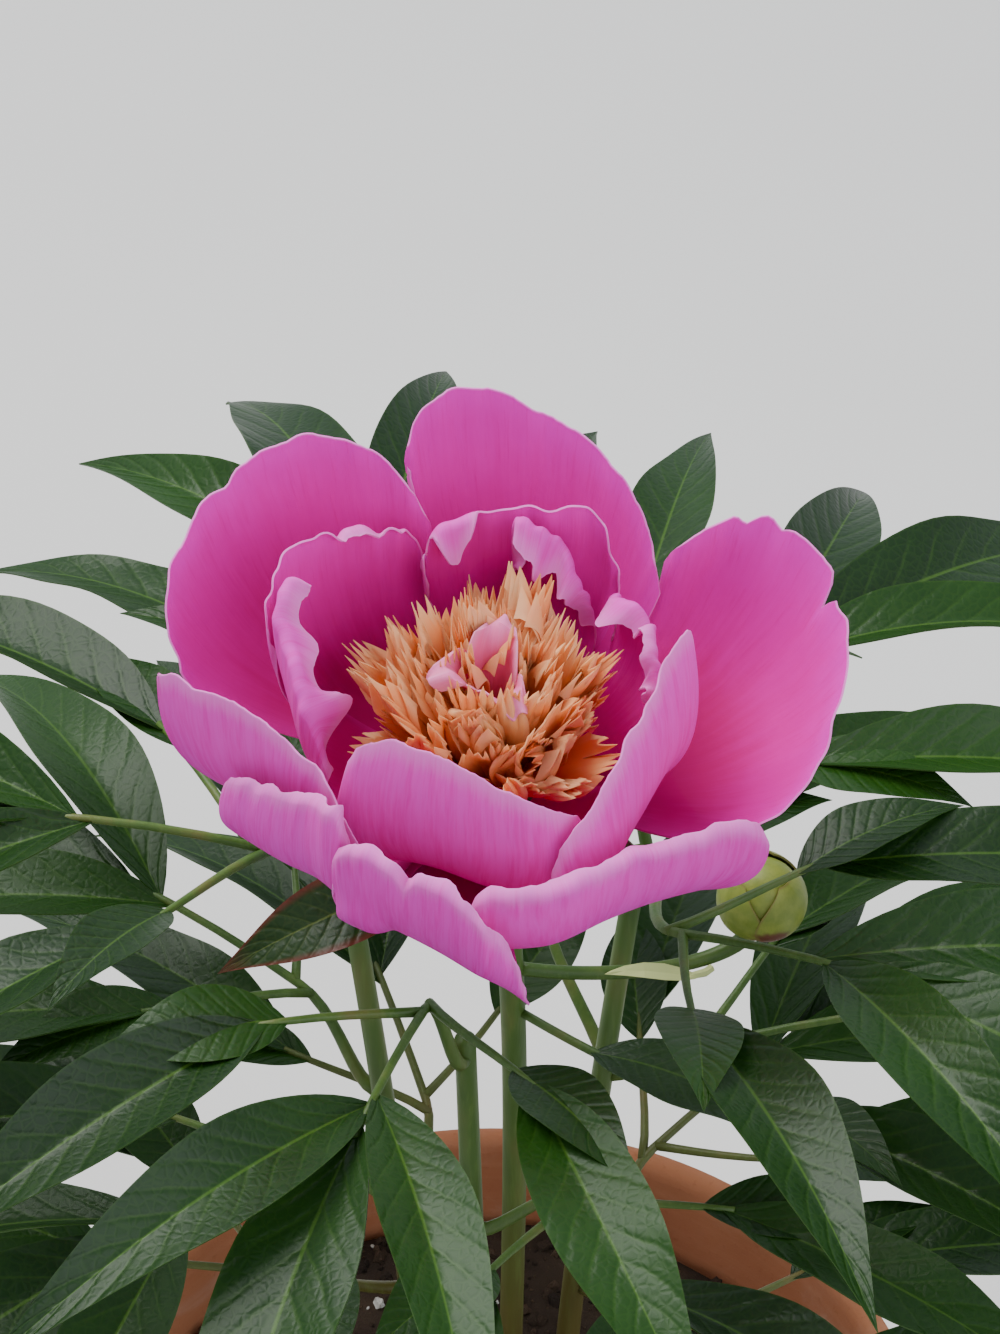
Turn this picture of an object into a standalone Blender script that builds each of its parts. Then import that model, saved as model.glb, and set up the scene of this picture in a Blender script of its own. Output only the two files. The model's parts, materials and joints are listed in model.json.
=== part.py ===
"""Potted peony: an open Japanese-form flower and a round bud over tiers of compound leaves, in a clay pot.

Metres, +Z up. The pot stands on z = 0 with its axis through the origin, and the flower leans towards -Y.
"""

import math
import random

import bmesh
import bpy
import numpy as np
from mathutils import Matrix, Vector
from mathutils.bvhtree import BVHTree

MM = 0.001

# Pot and soil
POT_HEIGHT = 0.200
POT_TOP_RADIUS = 0.120
POT_BASE_RADIUS = 0.084
POT_WALL = 0.008
BAND_HEIGHT = 0.038
BAND_STEP = 0.006
DRAIN_RADIUS = 0.007
DRAIN_CIRCLE = 0.045
SOIL_BELOW_RIM = 0.022
GAP = 0.0004

# Stems and leaves
STEM_RADIUS = 0.0031
LEAFY_STEM_RADIUS = 0.0034
BUD_STEM_RADIUS = 0.0017
PETIOLE_RADIUS = 0.0015
LEAF_REACH = 0.235
TIER_HEIGHTS = (0.262, 0.332, 0.402)
BLADE_THICKNESS = 0.0009

# Flower and bud
FLOWER_BASE = Vector((0.0, -0.020, 0.470))
FLOWER_TILT = math.radians(8)
FLOWER_SCALE = 1.0
PETAL_THICKNESS = 0.0008
PETAL_GAP = 0.0020
CLAW_RADIUS = 12.5 * MM
LAYER_OUT = 0.9 * MM
LAYER_DOWN = 1.25 * MM
NEST_CENTRE = np.array((0.0, 0.0, 35.0)) * MM
BUD_RADIUS = 0.0100
BUD_CENTRE = FLOWER_BASE + Vector((0.065, 0.023, -0.060))

# Each petal: layer outwards, how far its floor reaches and how far its wall bulges in mm, both at its first and its
# last side, where along its height it bulges, and its edge as (azimuth, radius, height).
PETALS = {
    "inner_petal_rear_right": (-3.6, (0.85, 0.85), (2, 2), 0.40, (
        (83, 36.5, 23), (82, 36.5, 35), (79, 36.5, 50), (70, 36.5, 47), (63, 36.5, 41), (54, 37, 31), (49, 36.5, 21))),
    "inner_petal_right_small": (-3.2, (0.85, 0.85), (2, 1), 0.40, (
        (44, 39, 20), (42, 39, 34), (34, 37.5, 38), (18, 37.5, 40), (6, 38, 38), (-2, 38, 30), (-5, 37.5, 20))),
    "inner_petal_rear": (-2.8, (0.85, 0.85), (1, 2), 0.40, (
        (111, 37.5, 25), (111, 38.5, 43.5), (97, 39, 46.5), (80, 40, 48.5), (62, 42, 50.5), (54, 43.5, 45.5),
        (48, 43, 31))),
    "inner_petal_left_fold": (-2.4, (0.90, 0.90), (1, 3), 0.40, (
        (158, 46, 34), (161, 47, 50), (165, 47, 55), (173, 46, 51), (188, 43.5, 43), (197, 41.5, 34.5), (204, 39, 20))),
    "inner_petal_left_rear": (-2.0, (0.85, 0.85), (0, 0), 0.40, (
        (170, 49, 32), (167, 51, 44), (158, 51, 49), (147, 49, 50), (134, 47, 47.5), (118, 44.5, 41.5),
        (112, 43.5, 34), (110, 42, 22))),
    "inner_petal_front": (-1.6, (1.20, 1.20), (10, 7), 0.30, (
        (221, 38, 14), (219, 40, 36), (226, 37, 46), (246, 33.5, 48), (270, 36.5, 44), (286, 41, 38), (291, 39.5, 18))),
    "inner_petal_right_front": (-1.0, (1.00, 1.15), (1, 13), 0.35, (
        (-1, 41.5, 18), (-2, 43, 32), (-3, 44.5, 46), (-5, 43.5, 56), (-16, 39.5, 50), (-38, 38.5, 45), (-58, 43, 38),
        (-71, 46, 30), (-74, 45, 15))),
    "petal_left_rear": (0.0, (0.66, 0.66), (-7, -5), 0.42, (
        (107, 46, 26), (108, 47.5, 39), (111, 50.5, 46.5), (116, 56, 53), (126, 65, 58.5), (137, 70, 57),
        (149, 74, 52), (158, 75, 46.5), (167, 74.5, 37), (172, 70, 26))),
    "petal_rear": (1.0, (0.66, 0.66), (-9, -7), 0.42, (
        (106, 52, 29), (109, 57, 45), (108, 59.5, 53), (103, 61, 61), (94, 62, 64), (83, 61, 60.5), (71, 60, 55),
        (58, 57, 48), (48, 54.5, 37), (42, 52, 24))),
    "petal_left_front": (1.0, (0.85, 1.15), (1, 3), 0.30, (
        (184, 61, 17), (182, 70, 32), (182, 73, 41), (187, 65, 42.5), (196, 54.5, 42), (209, 48, 38.5),
        (222, 46, 33), (236, 46.5, 18))),
    "petal_right": (2.0, (0.66, 0.66), (-9, -11), 0.40, (
        (45, 55.5, 20), (42, 58, 37), (34, 71, 46), (20, 79, 44), (4, 79, 37.5), (-12, 75, 27), (-23, 66, 18),
        (-28, 57, 13))),
    "petal_left_lower": (2.0, (0.95, 1.10), (6, 4), 0.22, (
        (199, 53, 9), (197, 61, 21), (204, 58, 27), (213, 54, 29.5), (222, 51, 33.5), (229, 51, 36), (233, 50.5, 26),
        (235, 49, 13))),
    "petal_front_right": (3.0, (1.10, 1.00), (6, 5), 0.12, (
        (264, 54, 12), (267, 56, 26), (283, 57, 29.5), (300, 56, 31), (318, 60, 27), (326, 66, 27.5), (331, 70, 19.5),
        (333, 62, 13), (335, 52, 7))),
    "petal_front_tip": (4.0, (0.98, 1.10), (4, 11), 0.10, (
        (230, 53, 13), (232, 54.5, 26), (239, 55, 33), (251, 55, 31), (263, 59, 31), (271, 61, 21.5),
        (276, 62.5, 12.5), (278, 61, 1))),
}
SEPAL_AZIMUTHS = (26, 98, 170, 242, 314)

# Each staminode whorl: ring radius, tip radius, tip height, blades and their widest half width.
WHORLS = (
    (3.8, 12.0, 42.0, 8, 2.0),
    (5.2, 21.5, 38.0, 12, 2.4),
    (6.6, 28.5, 31.0, 14, 2.6),
    (8.0, 32.5, 22.0, 16, 2.6),
)
CARPELODES = ((192, 8.5, 35.5), (300, 8.5, 34.0), (75, 7.5, 38.0))

COLOURS = {
    "clay": ((0.42, 0.16, 0.09), 0.85),
    "soil": ((0.035, 0.022, 0.015), 0.95),
    "leaf": ((0.025, 0.085, 0.022), 0.45),
    "stem": ((0.10, 0.17, 0.04), 0.50),
    "petal": ((0.72, 0.12, 0.42), 0.50),
    "staminode": ((0.90, 0.42, 0.20), 0.60),
    "carpelode": ((0.85, 0.30, 0.50), 0.50),
    "bud": ((0.30, 0.36, 0.08), 0.40),
}


def clear_scene():
    for thing in list(bpy.data.objects):
        bpy.data.objects.remove(thing, do_unlink=True)
    for group in list(bpy.data.collections):
        bpy.data.collections.remove(group)


def new_collection(name, hidden=False):
    group = bpy.data.collections.new(name)
    group.hide_render = hidden
    bpy.context.scene.collection.children.link(group)
    return group


def colour(thing, kind):
    """Gives the object a Principled material of its own."""
    (red, green, blue), rough = COLOURS[kind]
    material = bpy.data.materials.new(f"{thing.name} {kind}")
    material.use_nodes = True
    shader = material.node_tree.nodes["Principled BSDF"]
    shader.inputs["Base Color"].default_value = (red, green, blue, 1)
    shader.inputs["Roughness"].default_value = rough
    shader.inputs["Metallic"].default_value = 0
    material.diffuse_color = (red, green, blue, 1)
    thing.data.materials.clear()
    thing.data.materials.append(material)


def add_mesh(name, shape, kind, smooth=True):
    """Puts a bmesh into the plant's collection as one node, or among the cutters when it has no colour."""
    bmesh.ops.recalc_face_normals(shape, faces=shape.faces)
    mesh = bpy.data.meshes.new(name)
    shape.to_mesh(mesh)
    shape.free()
    thing = bpy.data.objects.new(name, mesh)
    if smooth:
        mesh.shade_smooth()
    if kind:
        PLANT.objects.link(thing)
        colour(thing, kind)
    else:
        CUTTERS.objects.link(thing)
        thing.hide_render = True
        thing.display_type = "WIRE"
    return thing


def modifier(thing, name, kind, **settings):
    made = thing.modifiers.new(name, kind)
    for key, value in settings.items():
        setattr(made, key, value)
    return made


def lathe(name, profile, kind, steps):
    """Turns a profile of (radius, height) points about Z. The outer side runs from the top down."""
    shape = bmesh.new()
    points = [shape.verts.new((x, 0, z)) for x, z in profile]
    for one, two in zip(points, points[1:]):
        shape.edges.new((one, two))
    mesh = bpy.data.meshes.new(name)
    shape.to_mesh(mesh)
    shape.free()
    thing = bpy.data.objects.new(name, mesh)
    PLANT.objects.link(thing)
    colour(thing, kind)
    modifier(
        thing, "Turn", "SCREW", steps=steps, render_steps=steps, use_merge_vertices=True,
        merge_threshold=0.00005, use_smooth_shade=True,
    )
    return thing


def tube(name, points, radii, kind, sides=1):
    """A round stem along the points, as a curve with filled caps."""
    curve = bpy.data.curves.new(name, "CURVE")
    curve.dimensions = "3D"
    curve.bevel_depth = 1.0
    curve.bevel_resolution = sides
    curve.use_fill_caps = True
    line = curve.splines.new("POLY")
    line.points.add(len(points) - 1)
    for place, point, radius in zip(line.points, points, radii):
        place.co = (*point, 1)
        place.radius = radius
    line.use_smooth = True
    thing = bpy.data.objects.new(name, curve)
    if kind:
        PLANT.objects.link(thing)
        colour(thing, kind)
    else:
        CUTTERS.objects.link(thing)
        thing.hide_render = True
        thing.display_type = "WIRE"
    return thing


def bezier(one, two, three, four, steps):
    points = []
    for index in range(steps + 1):
        t = index / steps
        points.append(one * (1 - t) ** 3 + two * 3 * t * (1 - t) ** 2 + three * 3 * t * t * (1 - t) + four * t**3)
    return points


def tube_mesh(points, radii, sides=1):
    """The mesh of such a stem, closed, for joining with a leaf's blades."""
    thing = tube("stalk guide", points, radii, None, sides)
    graph = bpy.context.evaluated_depsgraph_get()
    mesh = bpy.data.meshes.new_from_object(thing.evaluated_get(graph))
    bpy.data.objects.remove(thing, do_unlink=True)
    shape = bmesh.new()
    shape.from_mesh(mesh)
    bmesh.ops.remove_doubles(shape, verts=shape.verts, dist=0.00002)
    bmesh.ops.recalc_face_normals(shape, faces=shape.faces)
    return shape


def blade_shape(base, tip, half_width, up, arch, fold, stations=4):
    """A pointed blade from base to tip: a sphere of four meridians, flattened, folded along its midrib and arched."""
    shape = bmesh.new()
    bmesh.ops.create_uvsphere(shape, u_segments=4, v_segments=stations + 1, radius=1)
    along = tip - base
    length = along.length
    along = along.normalized()
    side = along.cross(up).normalized()
    above = side.cross(along).normalized()
    for vert in shape.verts:
        t = (1 - vert.co.z) / 2
        wide = math.sin(math.pi * t**0.85) ** 0.75 if 0 < t < 1 else 0.0
        ring = math.hypot(vert.co.x, vert.co.y) or 1
        across = vert.co.x / ring if wide else 0.0
        thick = vert.co.y / ring if wide else 0.0
        height = arch * 8 * t * t * (1 - t) + fold * abs(across) * wide * half_width
        height += thick * (BLADE_THICKNESS * 0.6 + 0.02 * half_width)
        vert.co = base + along * (t * length) + side * (across * wide * half_width) + above * height
    bmesh.ops.recalc_face_normals(shape, faces=shape.faces)
    return shape


def merge(shapes):
    """Every bmesh in one, still as separate closed bodies."""
    whole = bmesh.new()
    for shape in shapes:
        mesh = bpy.data.meshes.new("merged")
        shape.to_mesh(mesh)
        shape.free()
        whole.from_mesh(mesh)
        bpy.data.meshes.remove(mesh)
    return whole


def spline(points, where):
    """A smooth curve through the points, read at the shares of its length in where."""
    points = np.asarray(points, float)
    length = np.linalg.norm(np.diff(points, axis=0), axis=1) ** 0.75
    knots = np.concatenate([[0], np.cumsum(length)])
    knots /= knots[-1]
    slopes = np.gradient(points, knots, axis=0, edge_order=1)
    index = np.clip(np.searchsorted(knots, where, side="right") - 1, 0, len(knots) - 2)
    span = (knots[index + 1] - knots[index])[:, None]
    s = ((where - knots[index]) / span[:, 0])[:, None]
    ends = (1 + 2 * s) * (1 - s) ** 2 * points[index] + s * s * (3 - 2 * s) * points[index + 1]
    return ends + s * (1 - s) ** 2 * span * slopes[index] + s * s * (s - 1) * span * slopes[index + 1]


def around(azimuth, radius, height):
    return np.stack([radius * np.cos(azimuth), radius * np.sin(azimuth), height + 0 * radius], -1)


def petal_sheet(spec, across, along, root=None, low=None):
    """The middle surface of a petal, as a grid of points in the flower's own frame."""
    layer, belly, bulge, sink, edge = spec
    root = root or CLAW_RADIUS + LAYER_OUT * layer
    low = low or -LAYER_DOWN * layer
    azimuth, radius, height = np.array(edge, float).T
    scale = MM * FLOWER_SCALE
    edge = spline(around(np.radians(azimuth), radius * scale, height * scale), np.linspace(0, 1, across))
    turn = np.unwrap(np.arctan2(edge[:, 1], edge[:, 0]))
    reach = np.hypot(edge[:, 0], edge[:, 1])
    claw = (turn[0] + turn[-1]) / 2 + np.sign(turn[-1] - turn[0]) * np.linspace(-0.35, 0.35, across)
    first = around(claw, root + 0 * turn, low + 0 * turn)
    floor_reach = np.maximum(np.linspace(*belly, across) * reach, root + 4 * MM)
    second = around((2 * turn + claw) / 3, floor_reach, low + MM + 0 * turn)
    third = around(turn, reach + np.linspace(*bulge, across) * scale, low + (edge[:, 2] - low) * sink)
    v = np.linspace(0, 1, along)[None, :, None]
    near = (1 - v) ** 3 * first[:, None] + 3 * v * (1 - v) ** 2 * second[:, None]
    return near + 3 * v * v * (1 - v) * third[:, None] + v**3 * edge[:, None]


def tree_of(sheet):
    """A search tree of the sheet, made a little larger past its sides and its free edge."""
    sheet = np.concatenate([1.3 * sheet[:1] - 0.3 * sheet[1:2], sheet, 1.3 * sheet[-1:] - 0.3 * sheet[-2:-1]])
    sheet = np.concatenate([sheet, 1.3 * sheet[:, -1:] - 0.3 * sheet[:, -2:-1]], axis=1)
    across, along, _ = sheet.shape
    quads = []
    for i in range(across - 1):
        for j in range(along - 1):
            k = i * along + j
            quads.append((k, k + along, k + along + 1, k + 1))
    return BVHTree.FromPolygons([Vector(p) for p in sheet.reshape(-1, 3)], quads)


def denser(sheet, times):
    """The sheet's facets read at more points, so that a thin edge between two corners is not missed."""
    across, along, _ = sheet.shape
    for axis, count in ((0, across), (1, along)):
        where = np.linspace(0, count - 1, (count - 1) * times + 1)
        low = np.minimum(where.astype(int), count - 2)
        share = (where - low).reshape((-1, 1, 1) if axis == 0 else (1, -1, 1))
        sheet = np.take(sheet, low, axis) * (1 - share) + np.take(sheet, low + 1, axis) * share
    return sheet


def nest(sheet, inside, gap):
    """Moves a sheet outwards from the flower's middle until it clears every sheet inside it."""
    across, along, _ = sheet.shape
    for _ in range(3):
        fine = denser(sheet, 3) - NEST_CENTRE
        push = np.zeros((fine.shape[0] + 6, fine.shape[1] + 6))
        for i, row in enumerate(fine):
            for j, offset in enumerate(row):
                distance = np.linalg.norm(offset)
                ray = Vector(offset / distance)
                for tree in inside:
                    place, normal, _, travelled = tree.ray_cast(Vector(NEST_CENTRE) + ray * 0.3, -ray, 0.3)
                    if place:
                        need = 0.3 - travelled + gap / max(0.45, abs(normal.dot(ray)))
                        push[i + 3, j + 3] = max(push[i + 3, j + 3], need - distance)
        for i in range(across):
            for j in range(1, along):
                offset = sheet[i, j] - NEST_CENTRE
                most = push[3 * i : 3 * i + 7, 3 * j + 1 : 3 * j + 6].max()
                sheet[i, j] = NEST_CENTRE + offset * (1 + most / np.linalg.norm(offset))
    return sheet


def flower_matrix():
    return Matrix.Translation(FLOWER_BASE) @ Matrix.Rotation(FLOWER_TILT, 4, "X")


def add_sheet(name, sheet, kind, thickness, matrix=None):
    """A grid moved onto the sheet's points and made solid."""
    across, along, _ = sheet.shape
    shape = bmesh.new()
    bmesh.ops.create_grid(shape, x_segments=across - 1, y_segments=along - 1, size=1)
    for vert in shape.verts:
        i = round((vert.co.x + 1) / 2 * (across - 1))
        j = round((vert.co.y + 1) / 2 * (along - 1))
        vert.co = (matrix or flower_matrix()) @ Vector(sheet[i, j])
    thing = add_mesh(name, shape, kind)
    modifier(thing, "Thickness", "SOLIDIFY", thickness=thickness, offset=0, use_even_offset=False)
    return thing


def add_pot():
    top, base, wall = POT_TOP_RADIUS, POT_BASE_RADIUS, POT_WALL
    under = top - BAND_STEP - 0.002
    profile = [
        (0, wall * 1.3), (base - wall, wall * 1.3), (top - BAND_STEP - wall - 0.001, POT_HEIGHT - BAND_HEIGHT),
        (top - wall, POT_HEIGHT - 0.002), (top - wall + 0.002, POT_HEIGHT), (top - 0.002, POT_HEIGHT),
        (top, POT_HEIGHT - 0.003), (top - 0.0015, POT_HEIGHT - BAND_HEIGHT), (under, POT_HEIGHT - BAND_HEIGHT - 0.002),
        (base, 0.002), (base - 0.002, 0), (0, 0),
    ]
    pot = lathe("pot", profile, "clay", 32)
    cutter = merge([drain_shape(math.radians(a)) for a in (90, 210, 330)])
    holes = add_mesh("drain cutters", cutter, None)
    modifier(pot, "Drains", "BOOLEAN", operation="DIFFERENCE", object=holes, solver="EXACT")


def drain_shape(azimuth):
    shape = bmesh.new()
    place = Matrix.Translation((DRAIN_CIRCLE * math.cos(azimuth), DRAIN_CIRCLE * math.sin(azimuth), POT_WALL / 2))
    bmesh.ops.create_cone(
        shape, cap_ends=True, segments=14, radius1=DRAIN_RADIUS, radius2=DRAIN_RADIUS, depth=POT_WALL * 4, matrix=place,
    )
    return shape


def soil_height():
    return POT_HEIGHT - SOIL_BELOW_RIM


def add_soil():
    """The soil fills the pot to a little below its rim, with a shallow mound about the stems."""
    top, base, wall = POT_TOP_RADIUS, POT_BASE_RADIUS, POT_WALL
    band = POT_HEIGHT - BAND_HEIGHT
    inner_band = top - BAND_STEP - wall - 0.001
    share = (soil_height() - 0.003 - band) / (POT_HEIGHT - 0.002 - band)
    edge = inner_band + share * (top - wall - inner_band)
    low = wall * 1.3 + GAP
    profile = [
        (0, soil_height()), (0.050, soil_height()), (0.080, soil_height() - 0.002), (edge - GAP, soil_height() - 0.003),
        (inner_band - GAP, band), (base - wall - GAP, low), (0, low),
    ]
    lathe("potting_soil", profile, "soil", 32)


def stem_path(foot, middle, top, steps):
    one, four = Vector((*foot, soil_height() + GAP)), Vector(top)
    return bezier(one, one.lerp(Vector(middle), 0.6), Vector(middle).lerp(four, 0.2), four, steps)


def leafy_stem_points(azimuth, steps=8):
    foot = (0.020 * math.cos(azimuth), 0.020 * math.sin(azimuth))
    high = TIER_HEIGHTS[2] + 0.006
    top = (0.042 * math.cos(azimuth), 0.042 * math.sin(azimuth), high)
    middle = (0.026 * math.cos(azimuth), 0.026 * math.sin(azimuth), (soil_height() + high) / 2)
    return stem_path(foot, middle, top, steps)


def at_height(points, height):
    for one, two in zip(points, points[1:]):
        if one.z <= height <= two.z:
            return one.lerp(two, (height - one.z) / (two.z - one.z))
    return points[-1].copy()


LEAFY_AZIMUTHS = (math.radians(150), math.radians(30), math.radians(262))


def add_stems():
    top = FLOWER_BASE + Vector((0, 0.0016, -0.0125))
    foot = Vector((0.004, 0.002, soil_height() + GAP))
    points = bezier(foot, Vector((0.006, 0.004, 0.30)), Vector((0.0085, -0.0125, 0.405)), top, 12)
    tube("flower_stem", points, [STEM_RADIUS] * len(points), "stem", 2)
    for name, azimuth in zip(("left", "right", "front"), LEAFY_AZIMUTHS):
        points = leafy_stem_points(azimuth)
        radii = [LEAFY_STEM_RADIUS * (1 - 0.25 * i / (len(points) - 1)) for i in range(len(points))]
        tube(f"leafy_stem_{name}", points, radii, "stem", 2)
    return bezier(foot, Vector((0.006, 0.004, 0.30)), Vector((0.0085, -0.0125, 0.405)), top, 24)


def tier_rise(radius):
    return 0.62 * radius - 2.5 * radius * radius


# Leaflets of one compound leaf: the stalk that it grows on (0 main, 1 and -1 the side stalks) and where along the
# stalk's last part, its tip as (outwards, sideways) and its half width, the last two as shares of the leaf's reach.
LEAFLETS = (
    (0, 0.84, (1.00, 0.000), 0.070),
    (0, 0.46, (0.83, 0.250), 0.056),
    (0, 0.58, (0.83, -0.250), 0.056),
    (1, 0.86, (0.70, 0.415), 0.056),
    (-1, 0.86, (0.70, -0.415), 0.056),
    (1, 0.60, (0.43, 0.290), 0.046),
    (-1, 0.60, (0.43, -0.290), 0.046),
)


def add_leaf(name, azimuth, height, reach, seed):
    """A compound leaf on a petiole, out from the nearest leafy stem."""
    pick = random.Random(seed)
    stem = min(LEAFY_AZIMUTHS, key=lambda a: abs(math.remainder(a - azimuth, math.tau)))
    hub = at_height(leafy_stem_points(stem, 24), height)
    out = Vector((math.cos(azimuth), math.sin(azimuth), 0))
    aside = Vector((-math.sin(azimuth), math.cos(azimuth), 0))

    def place(outwards, sideways, lift=0.0):
        flat = out * (outwards * reach) + aside * (sideways * reach)
        return Vector((flat.x, flat.y, height + tier_rise(flat.length) + lift))

    start = hub + out * (LEAFY_STEM_RADIUS + GAP + 0.0002)
    fork = place(0.23, 0)
    main = bezier(start, start + out * 0.008, fork - out * 0.012 - Vector((0, 0, 0.004)), fork, 4)
    main += [place(0.33, 0), place(0.45, 0)]
    stalks = {0: main}
    stalk = tube_mesh(main, [PETIOLE_RADIUS * (1 - 0.06 * i) for i in range(len(main))])
    pieces = []
    for hand in (1, -1):
        ray = [place(0.225 - 0.01 * hand, 0), place(0.275, 0.072 * hand), place(0.330, 0.142 * hand)]
        stalks[hand] = ray
        pieces.append(tube_mesh(ray, [PETIOLE_RADIUS * 0.8, PETIOLE_RADIUS * 0.65, PETIOLE_RADIUS * 0.55], 0))
    for side, share_along, (tip_out, tip_side), half in LEAFLETS:
        lift = pick.uniform(-0.012, 0.012)
        base = stalks[side][-2].lerp(stalks[side][-1], share_along)
        tip = place(tip_out * pick.uniform(0.95, 1.0), tip_side * pick.uniform(0.92, 1.0), lift)
        lean = Vector((0, 0, 1)) + aside * pick.uniform(-0.35, 0.35)
        arch = pick.uniform(0.004, 0.012)
        pieces.append(blade_shape(base, tip, half * reach * pick.uniform(0.88, 1.1), lean, arch, 0.22))
    blades = add_mesh(f"{name} blades", merge(pieces), None)
    leaf = add_mesh(name, stalk, "leaf")
    modifier(leaf, "Join", "BOOLEAN", operation="UNION", object=blades, solver="EXACT", use_self=True)


def add_leaves():
    """Three tiers of five leaves, each tier turned so that its leaves stand over the gaps of the tier below."""
    for tier, (title, share, first) in enumerate((("low", 1.0, 39), ("mid", 0.99, 3), ("high", 0.98, 39))):
        for index in range(5):
            pick = random.Random(50 + 10 * tier + index)
            azimuth = math.radians(first + 72 * index + pick.uniform(-3, 3))
            height = TIER_HEIGHTS[tier] + pick.uniform(-0.008, 0.008)
            reach = LEAF_REACH * share * pick.uniform(0.95, 1.05)
            add_leaf(f"leaf_{title}_{index + 1}", azimuth, height, reach, 100 * tier + index)


def add_single_blade(name, start, bend, tip, half_width, up, arch, kind="leaf"):
    """One undivided leaf: a short stalk joined to a blade."""
    stalk = tube_mesh([start, start.lerp(bend, 0.5), bend.lerp(tip, 0.12)], [0.0011, 0.0011, 0.0008])
    blade = add_mesh(f"{name} blade", blade_shape(bend, tip, half_width, up, arch, 0.5, 6), None)
    leaf = add_mesh(name, stalk, kind)
    modifier(leaf, "Join", "BOOLEAN", operation="UNION", object=blade, solver="EXACT")


def off_stem(points, height, way):
    hub = at_height(points, height)
    way = Vector(way).normalized()
    return hub + Vector((way.x, way.y, 0)).normalized() * (STEM_RADIUS + GAP + 0.0003)


def add_bracts(stem):
    zero = FLOWER_BASE
    add_single_blade(
        "bract_left", off_stem(stem, zero.z - 0.030, (-1, 0.1, 0)), zero + Vector((-0.014, 0.002, -0.032)),
        zero + Vector((-0.064, -0.012, -0.050)), 0.008, Vector((0.2, -0.5, 1)), 0.003,
    )
    add_single_blade(
        "bract_right", off_stem(stem, zero.z - 0.086, (1, -0.4, 0)), zero + Vector((0.024, -0.006, -0.084)),
        zero + Vector((0.078, -0.034, -0.088)), 0.012, Vector((0, 0.2, 1)), 0.006,
    )


def add_bud(stem):
    """A round side bud on its own stalk, wrapped by three sepals with a narrow bract below them."""
    node = off_stem(stem, FLOWER_BASE.z - 0.070, (1, 0.1, 0))
    end = BUD_CENTRE - Vector((0.0016, 0.0006, BUD_RADIUS + 0.0012))
    points = bezier(node, node + Vector((0.018, 0.0, -0.004)), end - Vector((0.006, 0.002, 0.014)), end, 9)
    tube("bud_stem", points, [BUD_STEM_RADIUS] * len(points), "stem", 1)
    shape = bmesh.new()
    bmesh.ops.create_uvsphere(shape, u_segments=14, v_segments=9, radius=BUD_RADIUS)
    bmesh.ops.scale(shape, vec=(0.97, 0.97, 1.0), verts=shape.verts)
    bmesh.ops.translate(shape, vec=BUD_CENTRE, verts=shape.verts)
    add_mesh("bud", shape, "bud")
    for index, name in enumerate(("left", "right", "rear")):
        azimuth = math.radians(205 + 120 * index)
        sheet = np.zeros((6, 6, 3))
        for i in range(6):
            for j in range(6):
                t = j / 5
                width = 0.95 * math.sin(math.pi * (0.12 + 0.80 * t)) ** 0.8
                angle = azimuth + width * (i / 5 * 2 - 1)
                fall = math.radians(-66 + 118 * t)
                size = BUD_RADIUS + 0.0011
                sheet[i, j] = (
                    size * math.cos(fall) * math.cos(angle), size * math.cos(fall) * math.sin(angle),
                    size * math.sin(fall),
                )
        add_sheet(f"bud_sepal_{name}", sheet, "bud", 0.0007, Matrix.Translation(BUD_CENTRE))
    high = points[-3]
    way = Vector((-0.6, -0.8, 0)).normalized()
    start = high + way * (BUD_STEM_RADIUS + GAP + 0.0011 + 0.16 * BUD_RADIUS)
    add_single_blade(
        "bud_bract", start, start + Vector((-0.003, -0.003, 0.0)), start + Vector((-0.026, -0.006, 0.004)), 0.0022,
        Vector((0, -0.4, 1)), 0.002, "bud",
    )


def add_receptacle():
    """The cone that carries the petals, with its flat top under the staminodes."""
    inner = CLAW_RADIUS - 3.6 * LAYER_OUT - 0.0006
    outer = CLAW_RADIUS + 4.0 * LAYER_OUT - 0.0006
    high = 3.6 * LAYER_DOWN - 0.0006
    low = -4.0 * LAYER_DOWN - 0.0008
    profile = [
        (0, high), (inner, high), (outer, low), (outer - 0.0011, low - 0.0014), (0.0105, -0.0100), (0.0045, -0.0115),
        (0, -0.0115),
    ]
    thing = lathe("receptacle", profile, "stem", 20)
    thing.matrix_world = flower_matrix()


def whorl_sheet(ring, tip_radius, tip_height, blades, half_width, foot, turn):
    """A crown: a closed ring of quads with a pointed blade on every second one."""
    shape = bmesh.new()
    count = 2 * blades
    rings = []
    for level in (0.0, 1.0):
        row = []
        for index in range(count):
            angle = turn + math.tau * (index + 0.5) / count
            point = around(angle, (ring + 0.25 * level) * MM, foot + level * 1.6 * MM)
            row.append(shape.verts.new(point))
        rings.append(row)
    for index in range(count):
        after = (index + 1) % count
        shape.faces.new((rings[0][index], rings[0][after], rings[1][after], rings[1][index]))
    for blade in range(blades):
        pick = random.Random(1000 * blades + blade)
        left, right = rings[1][2 * blade], rings[1][2 * blade + 1]
        angle = turn + math.tau * (2 * blade + 1) / count
        reach = pick.uniform(0.90, 1.0)
        for share, width in ((0.38, 0.75), (0.75, 1.0), (1.0, 0.12)):
            s = share * reach
            radius = ring + (tip_radius - ring) * s**1.25
            height = foot / MM + 1.6 + (tip_height - foot / MM - 1.6) * (1 - (1 - s) ** 1.15)
            spread = min(half_width * width / radius, 0.46 * math.tau / blades)
            pair = []
            for hand in (-1, 1):
                point = around(angle + hand * spread, radius * MM, height * MM) * FLOWER_SCALE
                pair.append(shape.verts.new(point))
            shape.faces.new((left, right, pair[1], pair[0]))
            left, right = pair
    return shape


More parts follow.
